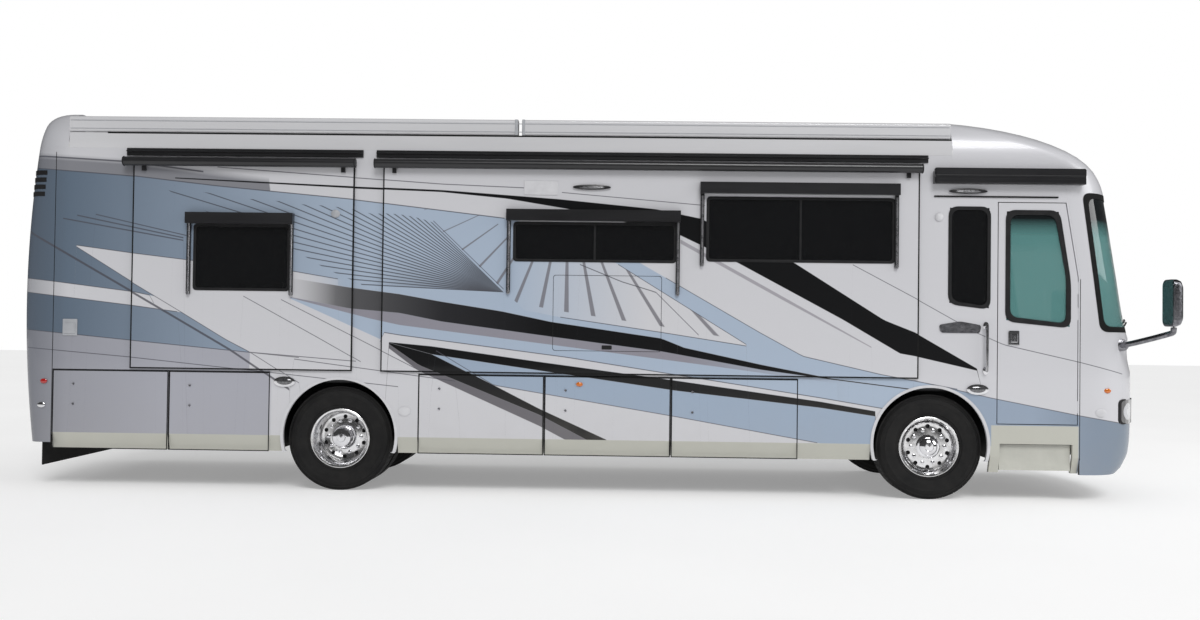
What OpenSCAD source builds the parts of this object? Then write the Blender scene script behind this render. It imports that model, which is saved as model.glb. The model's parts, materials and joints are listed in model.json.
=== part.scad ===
// Rear-engined motorhome with two slide-out rooms on the kerb side and one on the road side.
// +X is forward, -Y is the kerb side with the entry door, +Z is up, and the tyres stand on z = 0.

/* [Body] */
// Distance between the front and the rear axle
wheelbase = 5900; // [4900:50:7100]
// Front axle to the foremost point of the front cap
front_overhang = 2240; // [2100:10:2290]
// Rear axle to the rearmost point of the rear cap
rear_overhang = 3342; // [2900:10:4000]
// Width over the side walls
body_w = 2560; // [2500:10:3072]
// Height of the top of the side walls
side_h = 3430; // [3100:10:4120]
// Height of the front and rear caps above the side walls
cap_rise = 385; // [330:5:460]
// Height of the roof crown above the side walls
roof_rise = 210; // [180:5:250]
// Thickness of walls, roof and caps
wall_t = 45; // [36:1:54]

/* [Floor and skirts] */
// Height of the cabin floor
floor_h = 1190; // [1150:5:1300]
// Thickness of the cabin floor
floor_t = 100; // [80:5:100]
// Height of the lower edge of the side skirts
skirt_h = 385; // [320:5:460]
// Height of the strip that tucks under at the foot of a skirt
tuck_h = 160; // [130:5:190]
// How far the foot of a skirt tucks in
tuck_in = 55; // [45:1:66]
// Height of the lower edge of the front cap
nose_h = 270; // [225:5:320]

/* [Caps] */
// Front axle to the joint between side wall and front cap
front_seam = 1470; // [1470:5:1480]
// Front axle to the rear edge of the front cap on the roof
visor_seam = 200; // [170:5:240]
// Rear face to the joint between side wall and rear cap
rear_seam = 420; // [350:5:500]
// Rear face to the front edge of the rear cap on the roof
rear_visor = 540; // [450:5:640]
// How far the rear face leans in for each metre from its fullest height, squared
rear_bow = 43; // [35:1:52]
// Height of the lower edge of the windshield
screen_low = 1700; // [1600:10:1750]
// Height of the upper edge of the windshield
screen_high = 3060; // [2700:10:3100]
// Thickness of the windshield
screen_t = 14; // [10:1:18]
// Thickness of the window panes
pane_t = 12; // [8:1:16]

/* [Wheels] */
// Tyre diameter
tyre_d = 1044; // [870:2:1060]
// Tyre width
tyre_w = 295; // [245:1:310]
// Rim flange diameter
rim_d = 597; // [500:1:640]
// Distance from the vehicle's middle to the middle of an outer tyre
wheel_y = 1090; // [1080:1:1095]
// Distance between the middles of the twin tyres
twin_pitch = 335; // [330:1:360]
// Radius of the wheel arches
arch_r = 590; // [575:1:610]
// Distance from the vehicle's middle to the kingpins
kingpin_y = 910; // [900:1:920]
// Kingpin diameter
kingpin_d = 50; // [40:1:60]
// Wheel spindle diameter
spindle_d = 80; // [66:1:96]

/* [Slide-out rooms] */
// Depth of a slide-out room
slide_depth = 740; // [620:10:740]
// Height of the lower edge of the slide-outs above the floor
slide_lift = 45; // [38:1:60]
// Top of the slide-outs below the top of the side walls
slide_drop = 170; // [140:5:200]
// Wall thickness of the slide-outs
slide_t = 40; // [32:1:48]
// Rear face to the rear edge of the bedroom slide-out
bedroom_from_rear = 1251; // [1150:10:1400]
// Length of the bedroom slide-out
bedroom_l = 2179; // [1820:10:2260]
// Rear axle to the rear edge of the living room slide-out
living_from_axle = 445; // [430:5:530]
// Front axle back to the front edge of the living room slide-out
living_to_axle = 160; // [135:5:190]
// Front axle back to the front edge of the road-side slide-out
galley_to_axle = 1360; // [1130:10:1630]
// How far a slide-out's face plate overlaps the wall around it
lap = 28; // [24:1:34]
// Thickness of a slide-out's face plate
face_t = 15; // [12:1:18]

/* [Windows] */
// Bedroom window length
bedroom_win_l = 956; // [800:10:1150]
// Bedroom window height
bedroom_win_h = 645; // [540:5:770]
// Bedroom window's rear edge from the slide-out's rear edge
bedroom_win_x = 605; // [500:10:720]
// Bedroom window's top below the slide-out's top
bedroom_win_drop = 607; // [510:5:700]
// Galley-end window's rear edge from the living slide-out's rear edge
dinette_win_x = 1295; // [1080:10:1550]
// Gap between the two living room windows
living_win_gap = 322; // [270:5:380]
// Last living room window's front edge from the slide-out's front edge
sofa_win_x = 222; // [185:5:266]
// Height of the dinette window
dinette_win_h = 373; // [310:5:447]
// Height of the sofa window
sofa_win_h = 625; // [520:5:720]
// Top of the dinette window below the slide-out's top
dinette_win_drop = 552; // [460:5:660]
// Top of the sofa window below the slide-out's top
sofa_win_drop = 280; // [235:5:335]
// Share of the window length that the dinette window takes
dinette_share = 0.4656; // [0.4:0.01:0.55]
// Cross section of the window awning cases
case_h = 112; // [95:1:130]

/* [Entry] */
// Front axle to the rear edge of the entry door
door_x = 652; // [640:2:680]
// Width of the entry door at its foot
door_w = 800; // [660:5:805]
// Height of the foot of the entry door
door_low = 760; // [700:5:850]
// Top of the entry door below the top of the side walls
door_drop = 460; // [420:5:520]
// How far the front edge of the entry door leans back at its top
door_lean = 124; // [100:2:140]
// Top of the door down to where its front edge turns upright
door_kink = 745; // [620:5:890]
// Width of the step
step_w = 700; // [580:5:705]
// How far the step reaches in
step_depth = 330; // [275:5:390]

/* [Storage] */
// Width of the fixed panel behind the front arch
fixed_panel_w = 718; // [600:5:760]
// Width of the fixed panel in front of the rear arch
pillar_w = 200; // [170:5:240]
// Share of the rear span that the rearmost bay door takes
rear_door_share = 0.535; // [0.45:0.005:0.6]
// Distance from the vehicle's middle to the inner wall of the bays
bay_inner_y = 500; // [480:5:560]
// Plate thickness of the bays
bay_t = 25; // [20:1:30]
// Thickness of the bay doors
bay_door_t = 30; // [24:1:34]

/* [Running gear] */
// Depth of the chassis rails
rail_h = 230; // [190:5:230]
// Width of a chassis rail
rail_w = 80; // [66:1:96]
// Distance from the vehicle's middle to the middle of a rail
rail_y = 430; // [400:1:435]
// Diameter of the air springs
spring_d = 240; // [200:2:260]

/* [Outside] */
// Foremost point of the mirrors from the front axle
mirror_reach = 2330; // [2300:5:2400]
// Outer edge of the mirrors from the vehicle's middle
mirror_y = 1650; // [1600:5:1980]
// Cross section height of the patio awning cases
awning_h = 158; // [132:1:190]
// Cross section depth of the patio awning cases
awning_d = 130; // [110:1:140]

/* [Clearances] */
// Seam around doors, hatch and slide-outs
seam = 8; // [7:0.5:10]
// Gap between a soft or bonded piece and its seat
seat_gap = 0.3; // [0.2:0.1:0.5]
// Radial clearance of a running fit
running = 1; // [0.5:0.1:1.5]

/* [Hidden] */

hw = body_w / 2;
// The origin lies under the middle of the whole length, mirrors included.
fx = (rear_overhang + wheelbase - mirror_reach) / 2;
rx = fx - wheelbase;
tail_x = rx - rear_overhang;
wheel_z = tyre_d / 2;
cap_h = side_h + cap_rise;
wall_front = fx + front_seam;
wall_rear = tail_x + rear_seam;
roof_front = fx + visor_seam;
roof_rear = tail_x + rear_visor;
// The visor of the front cap reaches lower than the top of the side walls.
visor_low = side_h - 130;

slide_z0 = floor_h + slide_lift;
slide_z1 = side_h - slide_drop;
bed_x0 = tail_x + bedroom_from_rear;
bed_x1 = bed_x0 + bedroom_l;
liv_x0 = rx + living_from_axle;
liv_x1 = fx - living_to_axle;
gal_x0 = liv_x0;
gal_x1 = fx - galley_to_axle;
face_y = hw + seam - 2 + face_t;
win_span = liv_x1 - liv_x0 - dinette_win_x - living_win_gap - sofa_win_x;
dinette_x0 = liv_x0 + dinette_win_x;
dinette_x1 = dinette_x0 + win_span * dinette_share;
sofa_x0 = dinette_x1 + living_win_gap;
sofa_x1 = liv_x1 - sofa_win_x;

door_top = side_h - door_drop;
door_x0 = fx + door_x;
door_x1 = door_x0 + door_w;
bay_top = floor_h - 4;
arch_z = tyre_d / 2 + 28;
// Bay doors: two behind the rear arch, three between the arches.
rear_span0 = wall_rear + 4;
rear_span1 = rx - arch_r - 112;
mid_span0 = rx + arch_r + pillar_w;
mid_span1 = fx - arch_r - fixed_panel_w;
rear_split = rear_span0 + (rear_span1 - rear_span0) * rear_door_share;
mid_step = (mid_span1 - mid_span0) / 3;
door_edges = [
    [rear_span0, rear_split], [rear_split, rear_span1],
    for (i = [0:2]) [mid_span0 + i * mid_step, mid_span0 + (i + 1) * mid_step]
];
rail_top = floor_h - floor_t;
rail_low = rail_top - rail_h;
well_half = 650;
dash_back = wall_front - 60;
dash_front = fx + front_overhang - 420;
dash_top = screen_low - 130;
dash_y = 1000;
// Half width and heights of the engine hatch
hatch_y = 800;
hatch_z0 = 720;
hatch_z1 = 1560;
// Distance of the driver's place from the middle
wheel_side = 560;
flap_x = tail_x + 290;
flap_t = 12;
flap_top = 640;
hitch_z = 410;
hitch_mouth = tail_x + 140;
step_z0 = nose_h + 35;
step_z1 = door_low - 200;

// ---- Plain helpers ----

// Box between two corners
module block(a, b) translate(a) cube([b[0] - a[0], b[1] - a[1], b[2] - a[2]]);

// Outline in the X-Z plane, extruded from y0 to y1
module across(y0, y1) translate([0, y1, 0]) rotate([90, 0, 0]) linear_extrude(y1 - y0) children();

// Outline in the Y-Z plane, extruded from x0 to x1
module along(x0, x1) translate([x0, 0, 0]) rotate([90, 0, 90]) linear_extrude(x1 - x0) children();

// Rectangle with round corners
module round_rect(x0, z0, x1, z1, r) {
    translate([x0 + r, z0]) square([x1 - x0 - 2 * r, z1 - z0]);
    translate([x0, z0 + r]) square([x1 - x0, z1 - z0 - 2 * r]);
    for (x = [x0 + r, x1 - r], z = [z0 + r, z1 - r]) translate([x, z]) circle(r, $fn = 32);
}

// The same piece on the road side
module other_side() mirror([0, 1, 0]) children();

// Wheel-like cylinder across the vehicle, from y0 to y1
module drum(x, z, y0, y1, d, fn = 64)
    translate([x, y1, z]) rotate([90, 0, 0]) cylinder(d = d, h = y1 - y0, $fn = fn);

// ---- Shape of the caps ----

// Power of the curve that rounds a cap in plan
plan_power = 2.8;

// Half width of the caps at height z
function cap_half_w(z) =
    let (start = side_h - 30, s = max(0, min(1, (z - start) / (cap_h - start))))
    hw - 330 * (1 - sqrt(1 - s * s));

// Foremost point of the front cap at height z, from the front axle
visor_z = screen_high - 60;
function nose_at(z) =
    z > visor_z
    ? let (s = min(1, (z - visor_z) / (cap_h - visor_z)))
      front_overhang - 1940 + 1640 * sqrt(1 - s * s)
    : front_overhang + lookup(z, [
        [nose_h, -180], [nose_h + 60, -105], [nose_h + 120, -70], [nose_h + 190, -30],
        [nose_h + 400, -5], [nose_h + 630, 0], [nose_h + 1040, -2], [nose_h + 1090, -26],
        [nose_h + 1210, -43], [nose_h + 1370, -33], [screen_low, -60], [visor_z, -300]
    ]);

// Where the flat side of the front cap ends and its corner starts, from the front axle
function corner_at(z) = lookup(z, [
    [door_top - door_kink, front_seam + 10], [door_top, front_seam - 125],
    [visor_low, front_seam - 180], [side_h, front_seam - 320],
    [side_h + 0.45 * cap_rise, front_seam - 770], [side_h + 0.7 * cap_rise, front_seam - 1170],
    [cap_h, front_seam - 1770]
]);

// One level of the front cap, set in by t
function front_level(z, lift, t) =
    let (zz = z + lift, n = fx + nose_at(zz) - t, c = fx + corner_at(zz), w = cap_half_w(zz) - t)
    [
        [fx - 700, -w, z],
        for (i = [0:front_steps])
            let (a = -90 + 180 * i / front_steps)
            [
                c + (n - c) * pow(abs(cos(a)), 2 / plan_power),
                w * sign(a) * pow(abs(sin(a)), 2 / plan_power), z
            ],
        [fx - 700, w, z]
    ];
front_steps = 32;

// Rearmost point of the rear cap at height z
function tail_at(z) =
    let (full = 1870, s = max(0, (z - cap_h + 150) / 150))
    tail_x + rear_bow * pow((z - full) / 1000, 2) + 150 * (1 - sqrt(1 - min(1, s * s)));

// One level of the rear cap, set in by t
tail_steps = 20;
tail_corner = 260;
function rear_level(z, lift, t) =
    let (zz = z + lift, n = tail_at(zz) + t, c = tail_at(zz) + tail_corner, w = cap_half_w(zz) - t)
    [
        [wall_rear + 900, w, z],
        for (i = [0:tail_steps])
            let (a = 90 - 180 * i / tail_steps)
            [
                c - (c - n) * pow(abs(cos(a)), 2 / 3.2),
                w * sign(a) * pow(abs(sin(a)), 2 / 3.2), z
            ],
        [wall_rear + 900, -w, z]
    ];

// Solid through a stack of levels, each an equal number of points that run anticlockwise
module loft(levels) {
    n = len(levels[0]);
    m = len(levels);
    polyhedron(
        points = [for (l = levels) each l],
        faces = [
            [for (j = [0:n - 1]) j],
            for (i = [0:m - 2], j = [0:n - 1])
                each [
                    [i * n + j, (i + 1) * n + (j + 1) % n, i * n + (j + 1) % n],
                    [i * n + j, (i + 1) * n + j, (i + 1) * n + (j + 1) % n]
                ],
            [for (j = [n - 1:-1:0]) (m - 1) * n + j]
        ]
    );
}

// Heights of the levels between z0 and z1, closer together towards the top
function heights(z0, z1) = [
    for (z = [z0, z0 + 60, z0 + 120, z0 + 190, z0 + 400, z0 + 1040, z0 + 1090, z0 + 1210, z0 + 1370,
        screen_low, visor_z]) z,
    for (s = [0.12, 0.3, 0.45, 0.58, 0.7, 0.8, 0.88, 0.94, 0.98, 1]) visor_z + (z1 - visor_z) * s
];

module front_outer(t = 0) loft([for (z = heights(nose_h, cap_h - t)) front_level(z, t, t)]);

// The cavity starts below the cap so that the cap is open underneath.
module front_inner(t) {
    loft([
        for (z = concat([nose_h - 50], heights(nose_h, cap_h - t)))
            front_level(z, z < nose_h ? t + 50 : t, t)
    ]);
}

function rear_heights(t) = [
    for (z = [skirt_h + 60, 1100, 1870, 2600, side_h - 250, side_h - 30]) z,
    for (s = [0.2, 0.4, 0.55, 0.68, 0.8, 0.88, 0.94, 0.98, 1]) side_h - 30 + (cap_h - t - side_h + 30) * s
];

module rear_outer(t = 0, drop = 0)
    loft([for (z = concat(drop > 0 ? [skirt_h + 60 - drop] : [], rear_heights(t))) rear_level(z, t, t)]);

// Side view of the front cap: everything ahead of the wall, and the visor above it
module front_zone(gap = 0) {
    across(-2 * hw, 2 * hw) polygon([
        [wall_front + gap, 0], [fx + 4000, 0], [fx + 4000, cap_h + 500], [roof_front + gap, cap_h + 500],
        [roof_front + gap, visor_low + gap], [wall_front - door_lean - 56 + gap, visor_low + gap],
        [wall_front - door_lean - 1 + gap, door_top + 4], [wall_front + gap, door_top - door_kink]
    ]);
}

// How far the windshield's side edge leans back from foot to top
screen_sweep = 185;

// Side view of the windshield, set in by gap
module screen_zone(gap = 0) {
    lean = screen_sweep / (screen_high - screen_low);
    across(-2 * hw, 2 * hw) hull() {
        for (z = [screen_low + 40, screen_high - 40])
            translate([fx + front_overhang - 700 + (screen_high - z) * lean, z])
                circle(40 - gap, $fn = 24);
        translate([fx + 3000, screen_low + gap]) square([10, screen_high - screen_low - 2 * gap]);
    }
}

// ---- Side walls ----

// Outline of a side wall in the Y-Z plane on the kerb side, t thick, down to z0
module wall_profile(z0, z1, t)
    polygon([
        [-hw, z1], [-hw, z0 + tuck_h], [-hw + tuck_in, z0], [-hw + tuck_in + t, z0],
        [-hw + t, z0 + tuck_h], [-hw + t, z1]
    ]);

module arch_cut(x) {
    across(-hw - 100, -hw + 200) {
        translate([x, arch_z]) circle(arch_r, $fn = 96);
        translate([x - arch_r, 0]) square([2 * arch_r, arch_z]);
    }
}

// Rectangular opening through a kerb-side wall, from (x0, z0) to (x1, z1)
module wall_cut(x0, z0, x1, z1) block([x0, -hw - 100, z0], [x1, -hw + 200, z1]);

// Front edge of the door opening leans back above the kink.
module door_outline(gap)
    polygon([
        [door_x0 + gap, door_low + gap], [door_x1 - gap, door_low + gap],
        [door_x1 - gap, door_top - door_kink], [door_x1 - door_lean - gap, door_top - gap],
        [door_x0 + gap, door_top - gap]
    ]);

// Entry door window, with the slant of the door's front edge
module door_glass_outline(gap)
    polygon([
        [door_x0 + 88 + gap, door_top - 1175 + gap], [door_x1 - 85 - gap, door_top - 1235 + gap],
        [door_x1 - 85 - gap, door_top - door_kink - 30], [door_x1 - door_lean - 75 - gap, door_top - 92 - gap],
        [door_x0 + 88 + gap, door_top - 92 - gap]
    ]);

// Tall window between the living slide-out and the entry door
module porthole_outline(gap)
    polygon([
        [fx + 178 + gap, door_top - 1010 + gap], [fx + 570 - gap, door_top - 1060 + gap],
        [fx + 570 - gap, door_top - 62 - gap], [fx + 178 + gap, door_top - 62 - gap]
    ]);

// Driver's window on the road side
module driver_outline(gap)
    polygon([
        [fx + 250 + gap, door_top - 1010 + gap], [fx + 1300 - gap, door_top - 1060 + gap],
        [fx + 1300 - gap, door_top - 700 - gap], [fx + 1200 - gap, door_top - 62 - gap],
        [fx + 250 + gap, door_top - 62 - gap]
    ]);

// Wall without its openings for doors and rooms, on the kerb side
module plain_wall() {
    difference() {
        union() {
            along(wall_rear, fx) wall_profile(skirt_h, side_h, wall_t);
            along(fx, wall_front) wall_profile(nose_h + 10, side_h, wall_t);
        }
        // Keep clear of the front cap and its visor.
        front_zone(-seat_gap);
        for (x = [fx, rx]) arch_cut(x);
    }
}

// At its hinged front edge a door lies close to what carries it.
hinge_side = seat_gap - seam / 2;

module bay_openings() {
    wall_cut(rear_span0, 0, rear_span1 + hinge_side, bay_top);
    wall_cut(mid_span0, 0, mid_span1 + hinge_side, bay_top);
}

module right_wall() color("gainsboro") {
    right_panel();
    // Hinge leaves of the entry door
    for (z = [door_low + 120, (door_low + door_top) / 2 - 60, door_top - door_kink - 160])
        block([door_x1 - seam + seat_gap, -hw + 3, z], [door_x1 + 1, -hw + wall_t, z + 120]);
}

module right_panel() difference() {
    plain_wall();
    wall_cut(bed_x0, slide_z0, bed_x1, slide_z1);
    wall_cut(liv_x0, slide_z0, liv_x1, slide_z1);
    bay_openings();
    across(-hw - 100, -hw + 200) door_outline(0);
    across(-hw - 100, -hw + 200) porthole_outline(0);
    // Mouth of the step
    wall_cut(door_x0 + 40 - seam, 0, door_x0 + 40 + step_w + seam, step_z1 + seam);
}

module left_wall() color("gainsboro") other_side() difference() {
    plain_wall();
    wall_cut(gal_x0, slide_z0, gal_x1, slide_z1);
    wall_cut(mid_span0, 0, mid_span1 + hinge_side, bay_top);
    across(-hw - 100, -hw + 200) driver_outline(0);
    across(-hw - 100, -hw + 200) bedroom_glass_outline(0);
}

// ---- Roof, floor and caps ----

module roof_outline(t) {
    r = roof_rise - 50;
    w = hw - t;
    polygon([
        [-w, side_h], for (a = [10:10:80]) [-w + r - r * cos(a), side_h + (r - t) * sin(a)],
        [-w + r, side_h + r - t], [-w * 0.4, side_h + roof_rise - 12 - t], [0, side_h + roof_rise - t],
        [w * 0.4, side_h + roof_rise - 12 - t], [w - r, side_h + r - t],
        for (a = [80:-10:10]) [w - r + r * cos(a), side_h + (r - t) * sin(a)], [w, side_h]
    ]);
}

module roof() color("whitesmoke") difference() {
    along(roof_rear, roof_front) roof_outline(0);
    along(roof_rear - 1, roof_front + 1) roof_outline(wall_t);
}

// Rails on which a slide-out rolls
module slide_rails(x0, x1)
    for (x = [x0 + 200, (x0 + x1) / 2 - 40, x1 - 280])
        block([x, -hw + wall_t, floor_h + seat_gap], [x + 80, -hw + slide_depth - 60, slide_z0 + seam - seat_gap]);

// Stair well inside the entry door
well_w = 560;
well_x = door_x0 - 10;
tread_w = 280;
stair_t = 30;
// Slabs, rails and stairs of the floor, each seat_gap from the next
module floor() color("burlywood") {
    w = hw - wall_t;
    well_y = w - well_w;
    platform_y = dash_y + 60;
    block([wall_rear, -w, rail_top], [well_x, w, floor_h]);
    block([well_x + seat_gap, -well_y, rail_top], [wall_front, w, floor_h]);
    slide_rails(bed_x0, bed_x1);
    slide_rails(liv_x0, liv_x1);
    other_side() slide_rails(gal_x0, gal_x1);
    // Platform under the dashboard, inside the front cap
    block([wall_front + seat_gap, -platform_y, rail_top], [dash_front, platform_y, floor_h]);
    // Landing, riser and tread of the stair well
    block([well_x, -w, door_low - stair_t], [door_x1 - 10, -well_y - seat_gap, door_low]);
    block([well_x, -well_y, door_low - stair_t], [door_x1 - 10, -well_y + stair_t, rail_top - seat_gap]);
    block([well_x, -well_y - tread_w, door_low + seat_gap],
        [door_x1 - 10, -well_y - seat_gap, (door_low + floor_h) / 2]);
}

module front_cap() color("lightgray") difference() {
    intersection() {
        front_outer();
        front_zone();
    }
    intersection() {
        front_inner(wall_t);
        // The rear edge of the visor stays closed above the roof.
        union() {
            block([roof_front + wall_t, -2 * hw, 0], [fx + 4000, 2 * hw, cap_h + 100]);
            block([fx - 700, -hw + wall_t, 0], [roof_front + 100, hw - wall_t, side_h + roof_rise - 100]);
        }
    }
    screen_zone();
    // Air intake
    block([fx + 1700, -620, nose_h + 160], [fx + 3000, 620, nose_h + 330]);
}

module windshield() color("darkslategray") intersection() {
    difference() {
        front_outer(2);
        front_inner(2 + screen_t);
    }
    screen_zone(seat_gap);
}

module rear_zone() across(-2 * hw, 2 * hw) polygon([
    [tail_x - 500, 0], [wall_rear, 0], [wall_rear, side_h], [roof_rear, side_h], [roof_rear, cap_h + 500],
    [tail_x - 500, cap_h + 500]
]);

module hatch_block(gap)
    block([tail_x - 200, -hatch_y + gap, hatch_z0 + gap], [tail_x + 180, hatch_y - gap, hatch_z1 - gap]);

module rear_cap() color("slategray") {
    rear_shell();
    // Hinge leaves of the engine hatch
    for (s = [-1, 1])
        block([tail_x + 16, s * 500 - 60, hatch_z1 - seam + seat_gap], [tail_x + 44, s * 500 + 60, hatch_z1 + 1]);
}

module rear_shell() difference() {
    intersection() {
        rear_outer();
        rear_zone();
    }
    intersection() {
        rear_outer(wall_t, 100);
        union() {
            block([tail_x - 500, -2 * hw, 0], [roof_rear - wall_t, 2 * hw, cap_h + 100]);
            block([roof_rear - 100, -hw + wall_t, 0], [roof_rear + 300, hw - wall_t, side_h + roof_rise - 100]);
        }
    }
    hatch_block(0);
}

module engine_hatch() color("slategray") intersection() {
    difference() {
        rear_outer();
        rear_outer(wall_t - 5, 100);
    }
    hatch_block(seam);
}

// ---- Windows ----

module bedroom_glass_outline(gap)
    round_rect(bed_x0 + bedroom_win_x + gap, slide_z1 - bedroom_win_drop - bedroom_win_h + gap,
        bed_x0 + bedroom_win_x + bedroom_win_l - gap, slide_z1 - bedroom_win_drop - gap, 45);

module dinette_glass_outline(gap)
    round_rect(dinette_x0 + gap, slide_z1 - dinette_win_drop - dinette_win_h + gap,
        dinette_x1 - gap, slide_z1 - dinette_win_drop - gap, 45);

module sofa_glass_outline(gap)
    round_rect(sofa_x0 + gap, slide_z1 - sofa_win_drop - sofa_win_h + gap,
        sofa_x1 - gap, slide_z1 - sofa_win_drop - gap, 45);

module galley_glass_outline(gap)
    round_rect((gal_x0 + gal_x1) / 2 - 700 + gap, slide_z1 - 1000 + gap,
        (gal_x0 + gal_x1) / 2 + 700 - gap, slide_z1 - 480 - gap, 45);

module side_windows() color("dimgray") {
    y1 = -hw + pane_t + 8;
    across(-hw + 8, y1) porthole_outline(seat_gap);
    other_side() across(-hw + 8, y1) driver_outline(seat_gap);
    other_side() across(-hw + 8, y1) bedroom_glass_outline(seat_gap);
}

// Pane in the face plate of a kerb-side slide-out
module slide_pane() across(-face_y + 4, -face_y + 4 + pane_t) children();

module bedroom_slide_window() color("dimgray") slide_pane() bedroom_glass_outline(seat_gap);

module living_slide_windows() color("dimgray") {
    slide_pane() dinette_glass_outline(seat_gap);
    slide_pane() sofa_glass_outline(seat_gap);
}

module galley_slide_windows() color("dimgray") other_side() slide_pane() galley_glass_outline(seat_gap);

// ---- Slide-out rooms ----

// Room open to the cabin, with a face plate that laps over the wall; children() are its windows
module slide_room(x0, x1) difference() {
    union() {
        block([x0 + seam, -face_y + 1, slide_z0 + seam], [x1 - seam, -hw + slide_depth, slide_z1 - seam]);
        block([x0 - lap, -face_y, slide_z0 - lap], [x1 + lap, -face_y + face_t, slide_z1 + lap]);
    }
    block([x0 + seam + slide_t, -hw + slide_t, slide_z0 + seam + slide_t],
        [x1 - seam - slide_t, -hw + slide_depth + 1, slide_z1 - seam - slide_t]);
    across(-face_y - 10, -hw + slide_t + 10) children();
}

module bedroom_slide() color("lightgray") slide_room(bed_x0, bed_x1) bedroom_glass_outline(0);

module living_slide() color("lightgray") slide_room(liv_x0, liv_x1) {
    dinette_glass_outline(0);
    sofa_glass_outline(0);
}

module galley_slide() color("lightgray") other_side() slide_room(gal_x0, gal_x1) galley_glass_outline(0);

// Roller over a slide-out, carried on its face plate
topper_d = 92;
module topper(x0, x1) {
    z = slide_z1 + lap - 2;
    drum_y = -face_y - seat_gap - topper_d / 2;
    translate([x0 - 105, drum_y, z]) rotate([0, 90, 0]) cylinder(d = topper_d, h = x1 - x0 + 145, $fn = 48);
    for (x = [x0 + 60, x1 - 100])
        block([x, -face_y - seat_gap - 25, z - topper_d], [x + 40, -face_y - seat_gap, z]);
}

// Window awning case with its two folded arms
module window_awning(x0, x1, z0, arm_low) {
    block([x0 - 80, -face_y - seat_gap - 75, z0], [x1 + 50, -face_y - seat_gap, z0 + case_h]);
    for (x = [x0 - 75, x1 + 8])
        block([x, -face_y - seat_gap - 26, arm_low], [x + 38, -face_y - seat_gap, z0 + 1]);
}

module bedroom_slide_awnings() color("black") {
    topper(bed_x0, bed_x1);
    z0 = slide_z1 - bedroom_win_drop;
    window_awning(bed_x0 + bedroom_win_x, bed_x0 + bedroom_win_x + bedroom_win_l, z0 + 12,
        z0 - bedroom_win_h - 50);
}

module living_slide_awnings() color("black") {
    topper(liv_x0, liv_x1);
    dz = slide_z1 - dinette_win_drop;
    sz = slide_z1 - sofa_win_drop;
    window_awning(dinette_x0, dinette_x1, dz + 22, dz - 700);
    window_awning(sofa_x0, sofa_x1, sz + 40, sz - sofa_win_h - 50);
}

module galley_slide_awning() color("black") other_side() topper(gal_x0, gal_x1);

// ---- Doors of the storage bays ----

module bay_door(i) {
    along(door_edges[i][0] + seam / 2, door_edges[i][1] - seam / 2)
        wall_profile(skirt_h, bay_top - seam, bay_door_t);
}

module right_bay_door_1() color("slategray") bay_door(0);
module right_bay_door_2() color("slategray") bay_door(1);
module right_bay_door_3() color("lightgray") bay_door(2);
module right_bay_door_4() color("lightgray") bay_door(3);
module right_bay_door_5() color("lightgray") bay_door(4);
module left_bay_door_1() color("lightgray") other_side() bay_door(2);
module left_bay_door_2() color("lightgray") other_side() bay_door(3);
module left_bay_door_3() color("lightgray") other_side() bay_door(4);

// Open boxes behind the bay doors, from x0 to x1 with walls at the listed places
bay_face = hw - wall_t - tuck_in - 12;
module bay_row(x0, x1, walls) {
    z0 = skirt_h + 8;
    block([x0, -bay_face, z0], [x1, -bay_inner_y, z0 + bay_t]);
    block([x0, -bay_inner_y - bay_t, z0], [x1, -bay_inner_y, rail_top]);
    for (x = walls) block([x, -bay_face, z0], [x + bay_t, -bay_inner_y, rail_top]);
}

module bays() {
    bay_row(mid_span0 - 60, fx - well_half, [
        mid_span0 - 60, door_edges[3][0] - bay_t / 2, door_edges[4][0] - bay_t / 2, mid_span1 + 10,
        fx - well_half - bay_t
    ]);
    bay_row(rear_span0 + 60, rx - well_half, [rear_span0 + 60, rear_split - bay_t / 2, rx - well_half - bay_t]);
}

// Strip in a seam between two doors, to which the rear one of them is hinged
module hinge_strip(x)
    block([x + hinge_side, -hw + 6, skirt_h + tuck_h], [x + seam / 2 - 5, -bay_face + 1, rail_top]);

module right_storage_bays() color("darkgray") {
    bays();
    for (i = [0, 2, 3]) hinge_strip(door_edges[i][1]);
}

module left_storage_bays() color("darkgray") other_side() {
    bays();
    for (i = [2, 3]) hinge_strip(door_edges[i][1]);
}

// ---- Entry door and step ----

door_t = 42;
module entry_door() color("gainsboro") difference() {
    across(-hw, -hw + door_t) door_outline(seam);
    across(-hw - 1, -hw + door_t + 1) door_glass_outline(0);
}

module entry_door_window() color("dimgray")
    across(-hw + 6, -hw + 6 + pane_t) door_glass_outline(seat_gap);

module entry_step() color("tan") {
    x0 = door_x0 + 40;
    x1 = x0 + step_w;
    y0 = -hw + tuck_in - 10;
    block([x0, y0, step_z0], [x1, y0 + 25, step_z1]);
    block([x0, y0 + 24, step_z1 - 120], [x1, y0 + step_depth, step_z1 - 85]);
    for (x = [x0 + 20, x1 - 50])
        block([x, y0 + 24, step_z1 - 170], [x + 30, y0 + step_depth, step_z1 - 119]);
}

// ---- Running gear ----

frame_x0 = tail_x + 330;
frame_x1 = fx + front_overhang - 260;
jack_pad = [160, 120, 20];
module chassis_rails() color("dimgray") {
    middle = (rx + fx) / 2;
    for (s = [-1, 1]) {
        block([frame_x0, s * rail_y - rail_w / 2, rail_low], [frame_x1, s * rail_y + rail_w / 2, rail_top]);
        // Pad for a jack, midway between the axles
        block([middle - jack_pad[0] / 2, s * rail_y - jack_pad[1] / 2, rail_low - jack_pad[2]],
            [middle + jack_pad[0] / 2, s * rail_y + jack_pad[1] / 2, rail_low + 1]);
    }
}

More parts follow.
